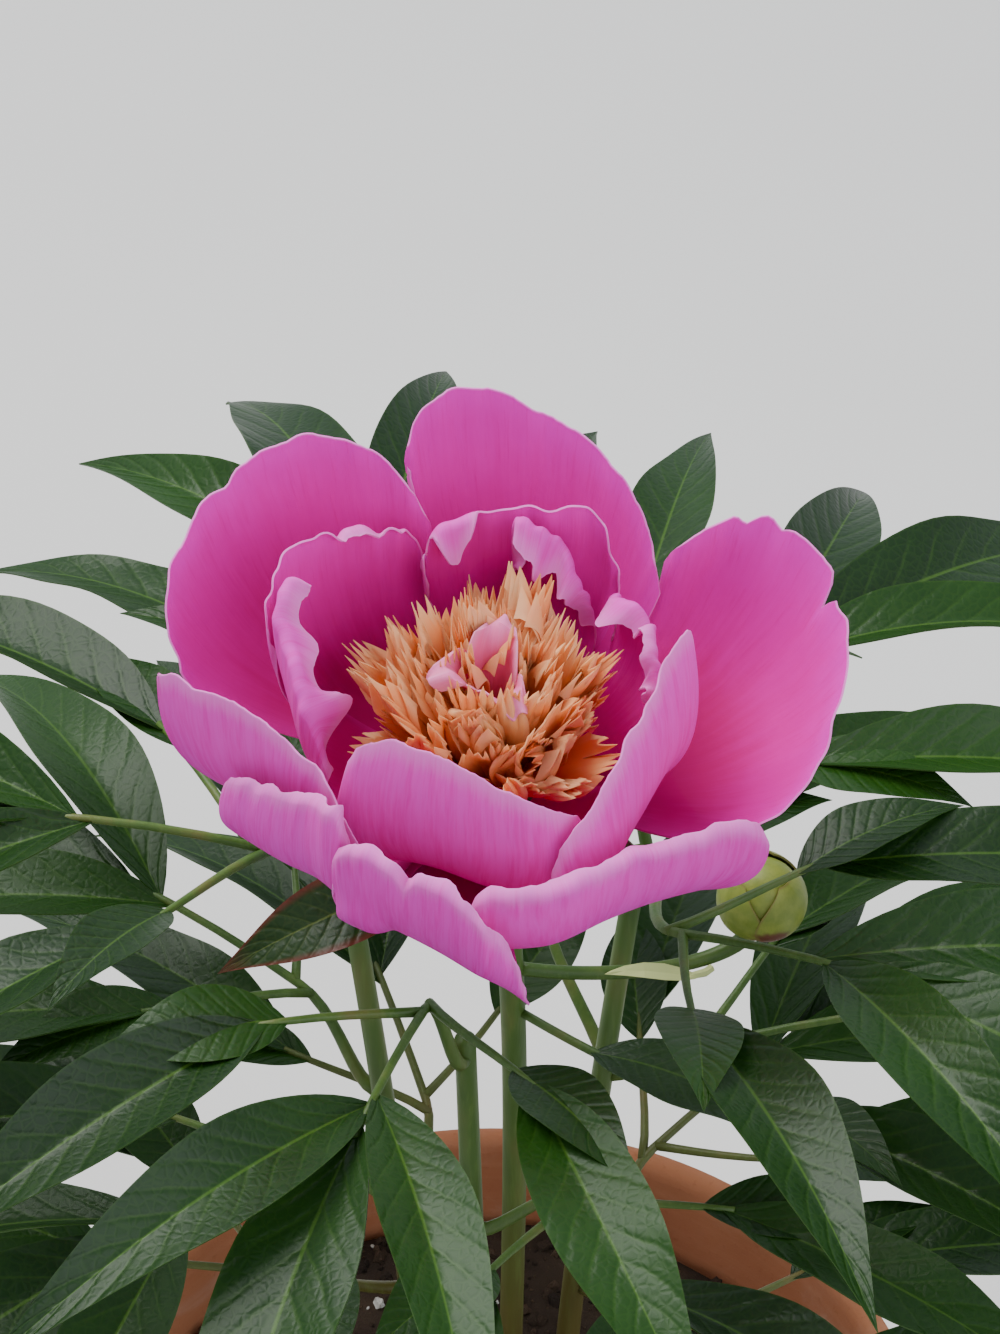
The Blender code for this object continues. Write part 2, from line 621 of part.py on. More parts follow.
def whorl_envelope(ring, tip_radius, tip_height, foot):
    """A full cone just outside the widest whorl, for the petals to clear."""
    sheet = np.zeros((33, 5, 3))
    for i in range(33):
        for j in range(5):
            s = j / 4
            radius = ring + 0.8 + (tip_radius + 0.6 - ring) * s**1.25
            height = foot / MM + 1.0 + (tip_height - foot / MM - 1.6) * (1 - (1 - s) ** 1.15)
            sheet[i, j] = around(math.tau * i / 32, radius * MM, height * MM) * FLOWER_SCALE
    return sheet


def add_flower():
    """Staminodes and carpelodes in the middle, then every petal from the inmost layer out, then the sepals."""
    foot = 3.6 * LAYER_DOWN - 0.0006 + 0.0008
    for index, whorl in enumerate(WHORLS):
        shape = whorl_sheet(*whorl, foot, 0.35 * index)
        for vert in shape.verts:
            vert.co = flower_matrix() @ vert.co
        thing = add_mesh(f"staminodes_{index + 1}", shape, "staminode")
        modifier(thing, "Thickness", "SOLIDIFY", thickness=0.0006, offset=0, use_even_offset=False)
    inside = [tree_of(whorl_envelope(*WHORLS[-1][:3], foot))]
    for index, (azimuth, radius, height) in enumerate(CARPELODES):
        sheet = np.zeros((3, 6, 3))
        turn = math.radians(azimuth)
        for j in range(6):
            t = j / 5
            reach = (1.3 + (radius - 1.3) * t**1.4) * MM
            rise = foot + (height * MM - foot) * t
            half = (0.5 + 3.0 * math.sin(math.pi * t**1.3 * 0.85)) * MM
            for i in range(3):
                side = (i - 1) * half
                cup = -abs(i - 1) * half * 0.35
                point = around(turn, reach + cup, rise)
                sheet[i, j] = (point + np.array((-math.sin(turn), math.cos(turn), 0)) * side) * FLOWER_SCALE
        add_sheet(f"carpelode_{index + 1}", sheet, "carpelode", 0.0007)
    for name, spec in PETALS.items():
        sheet = nest(petal_sheet(spec, 9, 6), inside, PETAL_GAP)
        inside.append(tree_of(sheet))
        add_sheet(name, sheet, "petal", PETAL_THICKNESS)
    for index, azimuth in enumerate(SEPAL_AZIMUTHS):
        edge = [(azimuth + a, r, z) for a, r, z in (
            (-22, 23, -7.5), (-29, 27, -6), (-20, 34, -2), (0, 39, 2), (20, 34, -2), (29, 27, -6), (22, 23, -7.5))]
        root, low = CLAW_RADIUS + 2.3 * LAYER_OUT, -4.0 * LAYER_DOWN - 0.0029
        sheet = nest(petal_sheet((5, (0.6, 0.6), (-1, -1), 0.6, edge), 6, 4, root, low), inside, PETAL_GAP)
        add_sheet(f"sepal_{index + 1}", sheet, "leaf", 0.0008)


clear_scene()
PLANT = new_collection("potted_peony")
CUTTERS = new_collection("cutters", hidden=True)
add_pot()
add_soil()
STEM = add_stems()
add_leaves()
add_bracts(STEM)
add_bud(STEM)
add_receptacle()
add_flower()
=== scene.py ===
"""Looks of the potted peony: petals, staminodes, leaves, bud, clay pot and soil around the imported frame."""

import json
import math
import random

import bmesh
import bpy
import numpy as np
from mathutils import Matrix, Vector
from mathutils.bvhtree import BVHTree

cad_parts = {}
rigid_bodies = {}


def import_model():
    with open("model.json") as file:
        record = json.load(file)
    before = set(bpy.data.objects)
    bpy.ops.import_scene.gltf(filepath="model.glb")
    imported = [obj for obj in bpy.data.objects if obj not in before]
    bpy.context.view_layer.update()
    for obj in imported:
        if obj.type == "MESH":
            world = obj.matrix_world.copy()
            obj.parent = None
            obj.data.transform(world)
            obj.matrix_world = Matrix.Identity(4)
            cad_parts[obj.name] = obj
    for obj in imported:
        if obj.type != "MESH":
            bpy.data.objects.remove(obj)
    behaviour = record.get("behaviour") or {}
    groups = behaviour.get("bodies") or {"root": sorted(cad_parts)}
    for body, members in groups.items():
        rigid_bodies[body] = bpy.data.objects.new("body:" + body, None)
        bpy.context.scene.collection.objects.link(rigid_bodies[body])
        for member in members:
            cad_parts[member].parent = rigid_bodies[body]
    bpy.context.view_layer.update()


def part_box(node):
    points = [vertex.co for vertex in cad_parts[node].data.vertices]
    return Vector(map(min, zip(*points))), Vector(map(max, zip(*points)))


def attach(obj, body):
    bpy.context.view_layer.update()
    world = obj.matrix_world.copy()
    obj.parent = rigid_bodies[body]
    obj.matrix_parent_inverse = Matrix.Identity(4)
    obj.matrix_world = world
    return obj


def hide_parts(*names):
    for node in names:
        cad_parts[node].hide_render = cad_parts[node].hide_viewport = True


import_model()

MM = 0.001
FLOWER_TILT = math.radians(8)
CLAW_RADIUS = 12.5 * MM
LAYER_OUT = 0.9 * MM
LAYER_DOWN = 1.25 * MM
NEST_CENTRE = np.array((0.0, 0.0, 35.0)) * MM
NEST_GAP = 1.3 * MM
PETAL_THICKNESS = 0.45 * MM
GOLDEN_TURN = 2.399963


def middle(node):
    low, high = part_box(node)
    return (Vector(low) + Vector(high)) / 2


SOIL_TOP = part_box("potting_soil")[1][2]
POT_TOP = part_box("pot")[1][2]
# The receptacle's box gives the flower's place: its middle lies a known step down the leaning flower axis.
FLOWER_BASE = middle("receptacle") + Matrix.Rotation(FLOWER_TILT, 3, "X") @ Vector((0, 0, 3.78 * MM))
FLOWER = Matrix.Translation(FLOWER_BASE) @ Matrix.Rotation(FLOWER_TILT, 4, "X")


# ---------------------------------------------------------------- node trees


class Socket:
    """A socket that numbers and other sockets can be added to, multiplied by and so on."""

    def __init__(self, net, socket):
        self.net = net
        self.socket = socket

    def _math(self, kind, *others):
        made = self.net.add("ShaderNodeMath", {"operation": kind}, dict(enumerate((self, *others))))
        return Socket(self.net, made.outputs[0])

    def __add__(self, other):
        return self._math("ADD", other)

    __radd__ = __add__

    def __sub__(self, other):
        return self._math("SUBTRACT", other)

    def __rsub__(self, other):
        made = self.net.add("ShaderNodeMath", {"operation": "SUBTRACT"}, {0: other, 1: self})
        return Socket(self.net, made.outputs[0])

    def __mul__(self, other):
        return self._math("MULTIPLY", other)

    __rmul__ = __mul__

    def __truediv__(self, other):
        return self._math("DIVIDE", other)

    def __pow__(self, other):
        return self._math("POWER", other)

    def sine(self):
        return self._math("SINE")

    def cosine(self):
        return self._math("COSINE")

    def size(self):
        return self._math("ABSOLUTE")

    def at_most(self, other):
        return self._math("MINIMUM", other)

    def at_least(self, other):
        return self._math("MAXIMUM", other)

    def step(self, low, high):
        """0 below low, 1 above high, smooth between."""
        made = self.net.add(
            "ShaderNodeMapRange", {"interpolation_type": "SMOOTHSTEP"}, {0: self, 1: low, 2: high, 3: 0.0, 4: 1.0},
        )
        return Socket(self.net, made.outputs[0])


class Net:
    """A node tree, with one method that adds any node."""

    def __init__(self, tree):
        self.tree = tree

    def add(self, kind, settings=None, sockets=None):
        node = self.tree.nodes.new(kind)
        for key, value in (settings or {}).items():
            if key == "stops":
                self._set_stops(node.color_ramp, value)
            else:
                setattr(node, key, value)
        for key, value in (sockets or {}).items():
            self.feed(node.inputs[key], value)
        return node

    def feed(self, inlet, value):
        if isinstance(value, Socket):
            value = value.socket
        if isinstance(value, bpy.types.NodeSocket):
            self.tree.links.new(value, inlet)
        else:
            inlet.default_value = value

    @staticmethod
    def _set_stops(ramp, stops):
        while len(ramp.elements) < len(stops):
            ramp.elements.new(1)
        for element, (place, tint) in zip(ramp.elements, stops):
            element.position = place
            element.color = (*tint, 1)

    def out(self, node, index=0):
        return Socket(self, node.outputs[index])


class Look(Net):
    """A material: its shader, its coordinates and the patterns that the finishes share."""

    def __init__(self, name, **constants):
        self.material = bpy.data.materials.new(name)
        self.material.use_nodes = True
        super().__init__(self.material.node_tree)
        self.shader = self.tree.nodes["Principled BSDF"]
        self.outlet = self.tree.nodes["Material Output"]
        for key, value in constants.items():
            self.shader.inputs[key.replace("_", " ")].default_value = value

    def coordinates(self, kind="Object"):
        return Socket(self, self.add("ShaderNodeTexCoord").outputs[kind])

    def attribute(self, name):
        return self.out(self.add("ShaderNodeAttribute", {"attribute_name": name}), 2)

    def split(self, vector):
        node = self.add("ShaderNodeSeparateXYZ", None, {0: vector})
        return [Socket(self, outlet) for outlet in node.outputs]

    def join(self, x, y, z=0.0):
        return self.out(self.add("ShaderNodeCombineXYZ", None, {0: x, 1: y, 2: z}))

    def stretch(self, vector, factors):
        return self.out(self.add("ShaderNodeVectorMath", {"operation": "MULTIPLY"}, {0: vector, 1: factors}))

    def noise(self, vector, scale, detail=3.0, rough=0.55, warp=0.0):
        node = self.add(
            "ShaderNodeTexNoise", None,
            {"Vector": vector, "Scale": scale, "Detail": detail, "Roughness": rough, "Distortion": warp},
        )
        return self.out(node)

    def cells(self, vector, scale, feature="F1", outlet=0):
        node = self.add("ShaderNodeTexVoronoi", {"feature": feature}, {"Vector": vector, "Scale": scale})
        return self.out(node, outlet)

    def tint(self, share, first, second):
        """first where share is 0, second where it is 1."""
        first = first if isinstance(first, Socket) else (*first, 1)
        second = second if isinstance(second, Socket) else (*second, 1)
        node = self.add("ShaderNodeMix", {"data_type": "RGBA"}, {0: share, 6: first, 7: second})
        return self.out(node, 2)

    def ramp(self, share, *stops):
        return self.out(self.add("ShaderNodeValToRGB", {"stops": stops}, {0: share}))

    def bump(self, height, distance, strength=1.0, under=None):
        sockets = {"Height": height, "Distance": distance, "Strength": strength}
        if under:
            sockets["Normal"] = under
        return self.out(self.add("ShaderNodeBump", None, sockets))

    def finish(self, colour, rough=None, normal=None, glow=None):
        """Feeds the shader. glow is (share, colour) of light let through a thin sheet."""
        self.feed(self.shader.inputs["Base Color"], colour)
        if rough is not None:
            self.feed(self.shader.inputs["Roughness"], rough)
        if normal is not None:
            self.feed(self.shader.inputs["Normal"], normal)
        if glow:
            share, through = glow
            sheet = self.add("ShaderNodeBsdfTranslucent", None, {"Color": through})
            both = self.add("ShaderNodeMixShader", None, {0: share, 1: self.shader.outputs[0], 2: sheet.outputs[0]})
            self.tree.links.new(both.outputs[0], self.outlet.inputs[0])
        return self.material


# ---------------------------------------------------------------- finishes


def petal_look(name, deep, middle_tone, pale, edge, back, back_line):
    """Silky petal: fine lengthwise veins, darker in the cup, lighter towards a thin pale edge."""
    look = Look(name, Roughness=0.6, Specular_IOR_Level=0.12)
    across, along, _ = look.split(look.coordinates("UV"))
    from_edge = look.attribute("from_edge")
    outside = look.attribute("outside")
    place = look.coordinates()
    drift = look.noise(place, 38.0, 2.0) - 0.5
    fan = look.join(across * 34.0 + drift * 1.2, along * 2.2)
    fine_fan = look.join(across * 120.0 + drift * 3.0, along * 5.0)
    broad = look.noise(fan, 1.0, 3.0, 0.6)
    fine = look.noise(fine_fan, 1.0, 3.0, 0.65)
    blotch = look.noise(place, 55.0, 3.0)
    height = (along + (broad - 0.5) * 0.30 + (blotch - 0.5) * 0.22)
    face = look.tint(height.step(0.30, 0.78), deep, middle_tone)
    light = (height.step(0.72, 1.06) * 0.75 + (1 - (from_edge + (broad - 0.5) * 6.0).step(0.5, 9.0)) * 0.35).at_most(1.0)
    face = look.tint(light, face, pale)
    face = look.tint(fine.step(0.52, 0.72) * 0.22, face, deep)
    skin = look.tint((broad * 0.6 + fine * 0.4).step(0.42, 0.66) * 0.75, back, back_line)
    skin = look.tint((1 - (from_edge + (fine - 0.5) * 5.0).step(0.0, 7.0)) * 0.6, skin, edge)
    skin = look.tint((1 - along.step(0.10, 0.50)) * 0.55, skin, back_line)
    colour = look.tint(outside, face, skin)
    colour = look.tint((1 - from_edge.step(0.10, 0.60)) * along.step(0.55, 0.95) * 0.6, colour, edge)
    rough = 0.50 + fine * 0.16
    veins = look.bump(broad * 0.6 + fine * 0.4, 0.00035, 0.55)
    normal = look.bump(look.noise(place, 900.0, 2.0), 0.00005, 0.25, veins)
    through = look.tint(outside, colour, colour)
    return look.finish(colour, rough, normal, (0.30, through))


def staminode_look():
    look = Look("Apricot staminode", Roughness=0.6, Specular_IOR_Level=0.12)
    across, along, _ = look.split(look.coordinates("UV"))
    tone = look.attribute("tone")
    place = look.coordinates()
    grain = look.noise(look.join(across * 16.0, along * 2.0 + tone * 9.0), 1.0, 3.0, 0.6)
    level = along + (grain - 0.5) * 0.35 + (tone - 0.5) * 0.22
    colour = look.ramp(
        level, (0.0, (0.97, 0.29, 0.07)), (0.34, (0.99, 0.41, 0.14)), (0.66, (1.0, 0.50, 0.20)),
        (0.90, (1.0, 0.60, 0.28)), (1.0, (1.0, 0.70, 0.40)),
    )
    rim = ((across - 0.5).size() * 2.0 + (grain - 0.5) * 0.2).step(0.72, 0.98)
    colour = look.tint(rim * along.step(0.35, 0.9) * 0.6, colour, (0.98, 0.70, 0.46))
    colour = look.tint(look.noise(place, 160.0, 2.0).step(0.55, 0.75) * 0.18, colour, (0.94, 0.36, 0.26))
    normal = look.bump(grain, 0.0003, 0.5)
    return look.finish(colour, 0.6 + grain * 0.15, normal, (0.48, colour))


def carpelode_look():
    look = Look("Pink carpelode", Roughness=0.5, Specular_IOR_Level=0.3, Sheen_Weight=0.1)
    across, along, _ = look.split(look.coordinates("UV"))
    grain = look.noise(look.join(across * 22.0, along * 2.0), 1.0, 3.0, 0.6)
    colour = look.ramp(
        along + (grain - 0.5) * 0.3, (0.0, (0.88, 0.16, 0.08)), (0.40, (0.90, 0.11, 0.24)), (0.75, (0.92, 0.16, 0.44)),
        (1.0, (0.94, 0.30, 0.58)),
    )
    rim = (across - 0.5).size() * 2.0
    colour = look.tint(rim.step(0.75, 1.0) * 0.5, colour, (0.95, 0.48, 0.72))
    return look.finish(colour, 0.45 + grain * 0.15, look.bump(grain, 0.0003, 0.5), (0.25, colour))


def leaf_look(name, dark, mid, vein, under, blush=None):
    """A glossy blade with a pale midrib, side veins that run forwards and a duller underside."""
    look = Look(name, Specular_IOR_Level=0.28)
    across, along, _ = look.split(look.coordinates("UV"))
    tone = look.attribute("tone")
    below = look.attribute("outside")
    place = look.coordinates()
    out = (across - 0.5).size() * 2.0
    warp = look.noise(place, 60.0, 2.0)
    rung = ((along - out * 0.16) * 11.0 + warp * 0.45) * math.tau
    rungs = (rung.cosine() * 0.5 + 0.5).step(0.93, 1.0)
    net = look.cells(look.stretch(place, (1.0, 1.0, 1.0)), 420.0, "DISTANCE_TO_EDGE")
    mesh_line = 1 - net.step(0.02, 0.14)
    rib = 1 - (out + (along - 0.5) * 0.02).step(0.010, 0.045)
    cloud = look.noise(place, 26.0, 3.0)
    top = look.tint((cloud * 0.7 + tone * 0.5 - 0.1).step(0.25, 0.85), dark, mid)
    top = look.tint(mesh_line * 0.08, top, vein)
    top = look.tint(rungs * (1 - out.step(0.5, 1.0)) * 0.16, top, vein)
    top = look.tint(out.step(0.95, 1.0) * 0.20, top, vein)
    if blush:
        top = look.tint((out.step(0.72, 1.0) * 0.8 + along.step(0.80, 1.0) * 0.5).at_most(0.9), top, blush)
    top = look.tint(rib * 0.70, top, vein)
    low = look.tint((rungs + rib).at_most(1.0) * 0.5, under, vein)
    colour = look.tint(below, top, low)
    ridge = (1 - (rung.cosine() * 0.5 + 0.5) ** 4.0) * 0.6 + (out * 3.0).at_most(1.0) * 0.8
    normal = look.bump(ridge, 0.0005, 0.5)
    normal = look.bump(net.step(0.0, 0.3), 0.00012, 0.4, normal)
    rough = 0.32 + below * 0.25 + cloud * 0.14
    return look.finish(colour, rough, normal, (0.10, (0.10, 0.26, 0.03, 1)))


def stem_look():
    look = Look("Green stem with red flush", Specular_IOR_Level=0.4)
    place = look.coordinates()
    _, _, high = look.split(place)
    cloud = look.noise(look.stretch(place, (1.0, 1.0, 0.25)), 70.0, 3.0)
    lines = look.noise(look.stretch(place, (1.0, 1.0, 0.03)), 900.0, 2.0)
    # The two stem greens are set darker than the stem's own green: partly painted shade, for stems that stand in the
    # shade of the leaves.
    colour = look.tint(cloud.step(0.35, 0.70), (0.035, 0.085, 0.008), (0.07, 0.13, 0.018))
    red = (1 - high.step(0.20, 0.36)) * 0.45 + cloud.step(0.52, 0.78) * 0.35
    colour = look.tint(red, colour, (0.19, 0.05, 0.03))
    colour = look.tint(lines.step(0.5, 0.7) * 0.2, colour, (0.12, 0.20, 0.04))
    return look.finish(colour, 0.42 + cloud * 0.12, look.bump(lines, 0.0003, 0.4))


def bud_look():
    """Yellow-green sepals with fine veins and a maroon patch low on the side that faces out."""
    look = Look("Bud green and maroon", Specular_IOR_Level=0.45)
    place = look.coordinates()
    centre = middle("bud")
    shifted = look.out(
        look.add("ShaderNodeVectorMath", {"operation": "SUBTRACT"}, {0: place, 1: tuple(centre)})
    )
    x, y, z = look.split(shifted)
    cloud = look.noise(place, 260.0, 3.0)
    fine = look.noise(look.stretch(shifted, (1.0, 1.0, 0.3)), 1500.0, 2.0)
    colour = look.tint(cloud.step(0.3, 0.7), (0.16, 0.22, 0.022), (0.25, 0.30, 0.045))
    colour = look.tint((z / 0.010).step(-0.2, 1.0) * 0.35, colour, (0.30, 0.36, 0.07))
    patch = (((x - 0.002) ** 2.0 + (z + 0.0062) ** 2.0) ** 0.5 + (cloud - 0.5) * 0.006).step(0.0030, 0.0062)
    maroon = (1 - patch) * (1 - y.step(-0.004, 0.002))
    colour = look.tint(maroon * 0.9, colour, (0.13, 0.018, 0.022))
    colour = look.tint((1 - (z / 0.010).step(-1.02, -0.80)) * 0.5, colour, (0.16, 0.05, 0.03))
    edge = look.attribute("from_edge")
    colour = look.tint((1 - edge.step(0.1, 0.6)) * 0.45, colour, (0.20, 0.10, 0.05))
    colour = look.tint(fine.step(0.5, 0.7) * 0.2, colour, (0.13, 0.20, 0.02))
    return look.finish(colour, 0.36 + cloud * 0.14, look.bump(fine * 0.6 + cloud * 0.4, 0.0002, 0.4))


def clay_look():
    """Fired clay: pores, turning lines, a foot that grows darker towards the bottom and a pale mineral bloom under the
    rim.
    """
    look = Look("Fired clay", Specular_IOR_Level=0.3)
    place = look.coordinates()
    _, _, high = look.split(place)
    broad = look.noise(place, 9.0, 4.0, 0.6)
    speck = look.noise(place, 420.0, 3.0, 0.7)
    turning = look.noise(look.join(0.0, 0.0, high * 1.0 + broad * 0.004), 260.0, 2.0)
    bloom_cloud = look.noise(look.stretch(place, (1.0, 1.0, 1.6)), 26.0, 5.0, 0.65, 0.6)
    colour = look.tint(broad.step(0.3, 0.7), (0.40, 0.135, 0.062), (0.52, 0.20, 0.095))
    colour = look.tint(turning.step(0.45, 0.75) * 0.22, colour, (0.60, 0.28, 0.15))
    colour = look.tint(speck.step(0.58, 0.75) * 0.35, colour, (0.30, 0.09, 0.04))
    band = high.step(0.115, 0.165) * (1 - high.step(0.185, 0.205)) + (1 - high.step(0.004, 0.035)) * 0.8
    colour = look.tint((bloom_cloud.step(0.47, 0.82) * (band * 0.34 + 0.06)).at_most(1.0), colour, (0.70, 0.58, 0.48))
    colour = look.tint((1 - high.step(0.0, 0.06)) * 0.25, colour, (0.24, 0.085, 0.045))
    pores = look.bump(speck, 0.0004, 0.5)
    normal = look.bump(turning, 0.0006, 0.35, pores)
    return look.finish(colour, 0.80 + speck * 0.15, normal)


def soil_look():
    look = Look("Damp potting soil", Specular_IOR_Level=0.3)
    place = look.coordinates()
    tone = look.attribute("tone")
    cloud = look.noise(place, 60.0, 4.0)
    grit = look.noise(place, 700.0, 3.0, 0.7)
    colour = look.tint((cloud * 0.6 + tone * 0.6).step(0.3, 0.9), (0.020, 0.012, 0.008), (0.070, 0.042, 0.025))
    colour = look.tint(grit.step(0.60, 0.78) * 0.5, colour, (0.13, 0.085, 0.05))
    colour = look.tint(tone.step(0.955, 0.965), colour, (0.62, 0.60, 0.55))
    return look.finish(colour, 0.85 + grit * 0.12, look.bump(grit, 0.0006, 0.8))


def floor_look():
    look = Look("Pale floor", Roughness=0.75, Specular_IOR_Level=0.2)
    cloud = look.noise(look.coordinates(), 1.3, 3.0)
    return look.finish(look.tint(cloud.step(0.3, 0.7), (0.70, 0.69, 0.67), (0.74, 0.73, 0.71)), 0.72 + cloud * 0.1)


# ---------------------------------------------------------------- meshes


def plain_mesh(thing):
    """The object as its modifiers leave it, as a plain mesh object of the same name."""
    graph = bpy.context.evaluated_depsgraph_get()
    mesh = bpy.data.meshes.new_from_object(thing.evaluated_get(graph), depsgraph=graph)
    name = thing.name
    bpy.data.objects.remove(thing, do_unlink=True)
    made = bpy.data.objects.new(name, mesh)
    bpy.context.scene.collection.objects.link(made)
    return made


def paint(mesh, name, values):
    layer = mesh.attributes.new(name, "FLOAT", "POINT")
    layer.data.foreach_set("value", np.asarray(values, np.float32).ravel())


def unwrap(mesh, across, along):
    layer = mesh.uv_layers.new(name="UVMap")
    corner = np.empty(len(mesh.loops), np.int32)
    mesh.loops.foreach_get("vertex_index", corner)
    layer.data.foreach_set("uv", np.stack([across[corner], along[corner]], -1).astype(np.float32).ravel())


def shell(name, sheet, thickness, marks, material, matrix=None, heart=None):
    """A grid moved onto the sheet and made solid. marks are values on its points: across, along and any others.

    The face that looks towards heart, or without one the grid's upper face, gets outside 0 and the other one 1.
    """
    across, along, _ = sheet.shape
    shape = bmesh.new()
    bmesh.ops.create_grid(shape, x_segments=across - 1, y_segments=along - 1, size=1)
    order = np.zeros(len(shape.verts), int)
    for index, vert in enumerate(shape.verts):
        i = round((vert.co.x + 1) / 2 * (across - 1))
        j = round((vert.co.y + 1) / 2 * (along - 1))
        order[index] = i * along + j
        point = Vector(sheet[i, j])
        vert.co = matrix @ point if matrix else point
    mesh = bpy.data.meshes.new(name)
    shape.to_mesh(mesh)
    shape.free()
    thing = bpy.data.objects.new(name, mesh)
    bpy.context.scene.collection.objects.link(thing)
    solid = thing.modifiers.new("Thickness", "SOLIDIFY")
    solid.thickness = thickness
    solid.offset = 0
    thing = plain_mesh(thing)
    mesh = thing.data
    count = across * along
    flat = {key: np.tile(np.asarray(value, float).ravel()[order], 2) for key, value in marks.items()}
    unwrap(mesh, flat.pop("across"), flat.pop("along"))
    for key, value in flat.items():
        paint(mesh, key, value)
    place = np.empty(len(mesh.vertices) * 3, np.float32)
    mesh.vertices.foreach_get("co", place)
    one, two = place.reshape(2, count, 3)
    toward = np.array(heart) - one if heart else np.tile((0.0, 0.0, 1.0), (count, 1))
    turned = ((one - two) * toward).sum() < 0
    paint(mesh, "outside", np.repeat([1.0, 0.0] if turned else [0.0, 1.0], count))
    mesh.shade_smooth()
    mesh.set_sharp_from_angle(angle=math.radians(55))
    mesh.materials.clear()
    mesh.materials.append(material)
    return thing


def spline(points, where):
    """A smooth curve through the points, read at the shares of its length in where."""
    points = np.asarray(points, float)
    length = np.linalg.norm(np.diff(points, axis=0), axis=1) ** 0.75
    knots = np.concatenate([[0], np.cumsum(length)])
    knots /= knots[-1]
    slopes = np.gradient(points, knots, axis=0, edge_order=1)
    index = np.clip(np.searchsorted(knots, where, side="right") - 1, 0, len(knots) - 2)
    span = (knots[index + 1] - knots[index])[:, None]
    s = ((where - knots[index]) / span[:, 0])[:, None]
    ends = (1 + 2 * s) * (1 - s) ** 2 * points[index] + s * s * (3 - 2 * s) * points[index + 1]
    return ends + s * (1 - s) ** 2 * span * slopes[index] + s * s * (s - 1) * span * slopes[index + 1]


def around(azimuth, radius, height):
    return np.stack([radius * np.cos(azimuth), radius * np.sin(azimuth), height + 0 * radius], -1)


def tube(name, points, radii, material, sides=4):
    """A round stem as a mesh with closed ends."""
    curve = bpy.data.curves.new(name, "CURVE")
    curve.dimensions = "3D"
    curve.bevel_depth = 1.0
    curve.bevel_resolution = sides
    curve.use_fill_caps = True
    line = curve.splines.new("POLY")
    line.points.add(len(points) - 1)
    for place, point, radius in zip(line.points, points, radii):
        place.co = (*point, 1)
        place.radius = radius
    thing = bpy.data.objects.new(name, curve)
    bpy.context.scene.collection.objects.link(thing)
    thing = plain_mesh(thing)
    shape = bmesh.new()
    shape.from_mesh(thing.data)
    bmesh.ops.remove_doubles(shape, verts=shape.verts, dist=0.00001)
    bmesh.ops.recalc_face_normals(shape, faces=shape.faces)
    shape.to_mesh(thing.data)
    shape.free()
    thing.data.shade_smooth()
    thing.data.materials.clear()
    thing.data.materials.append(material)
    return thing


def bezier(one, two, three, four, steps):
    points = []
    for index in range(steps + 1):
        t = index / steps
        points.append(one * (1 - t) ** 3 + two * 3 * t * (1 - t) ** 2 + three * 3 * t * t * (1 - t) + four * t**3)
    return points


def settle(thing, slot, *nodes):
    """The piece rides with the pot and stands for its CAD nodes."""
    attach(thing, "root")
    if nodes:
        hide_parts(*nodes)


# ---------------------------------------------------------------- petals

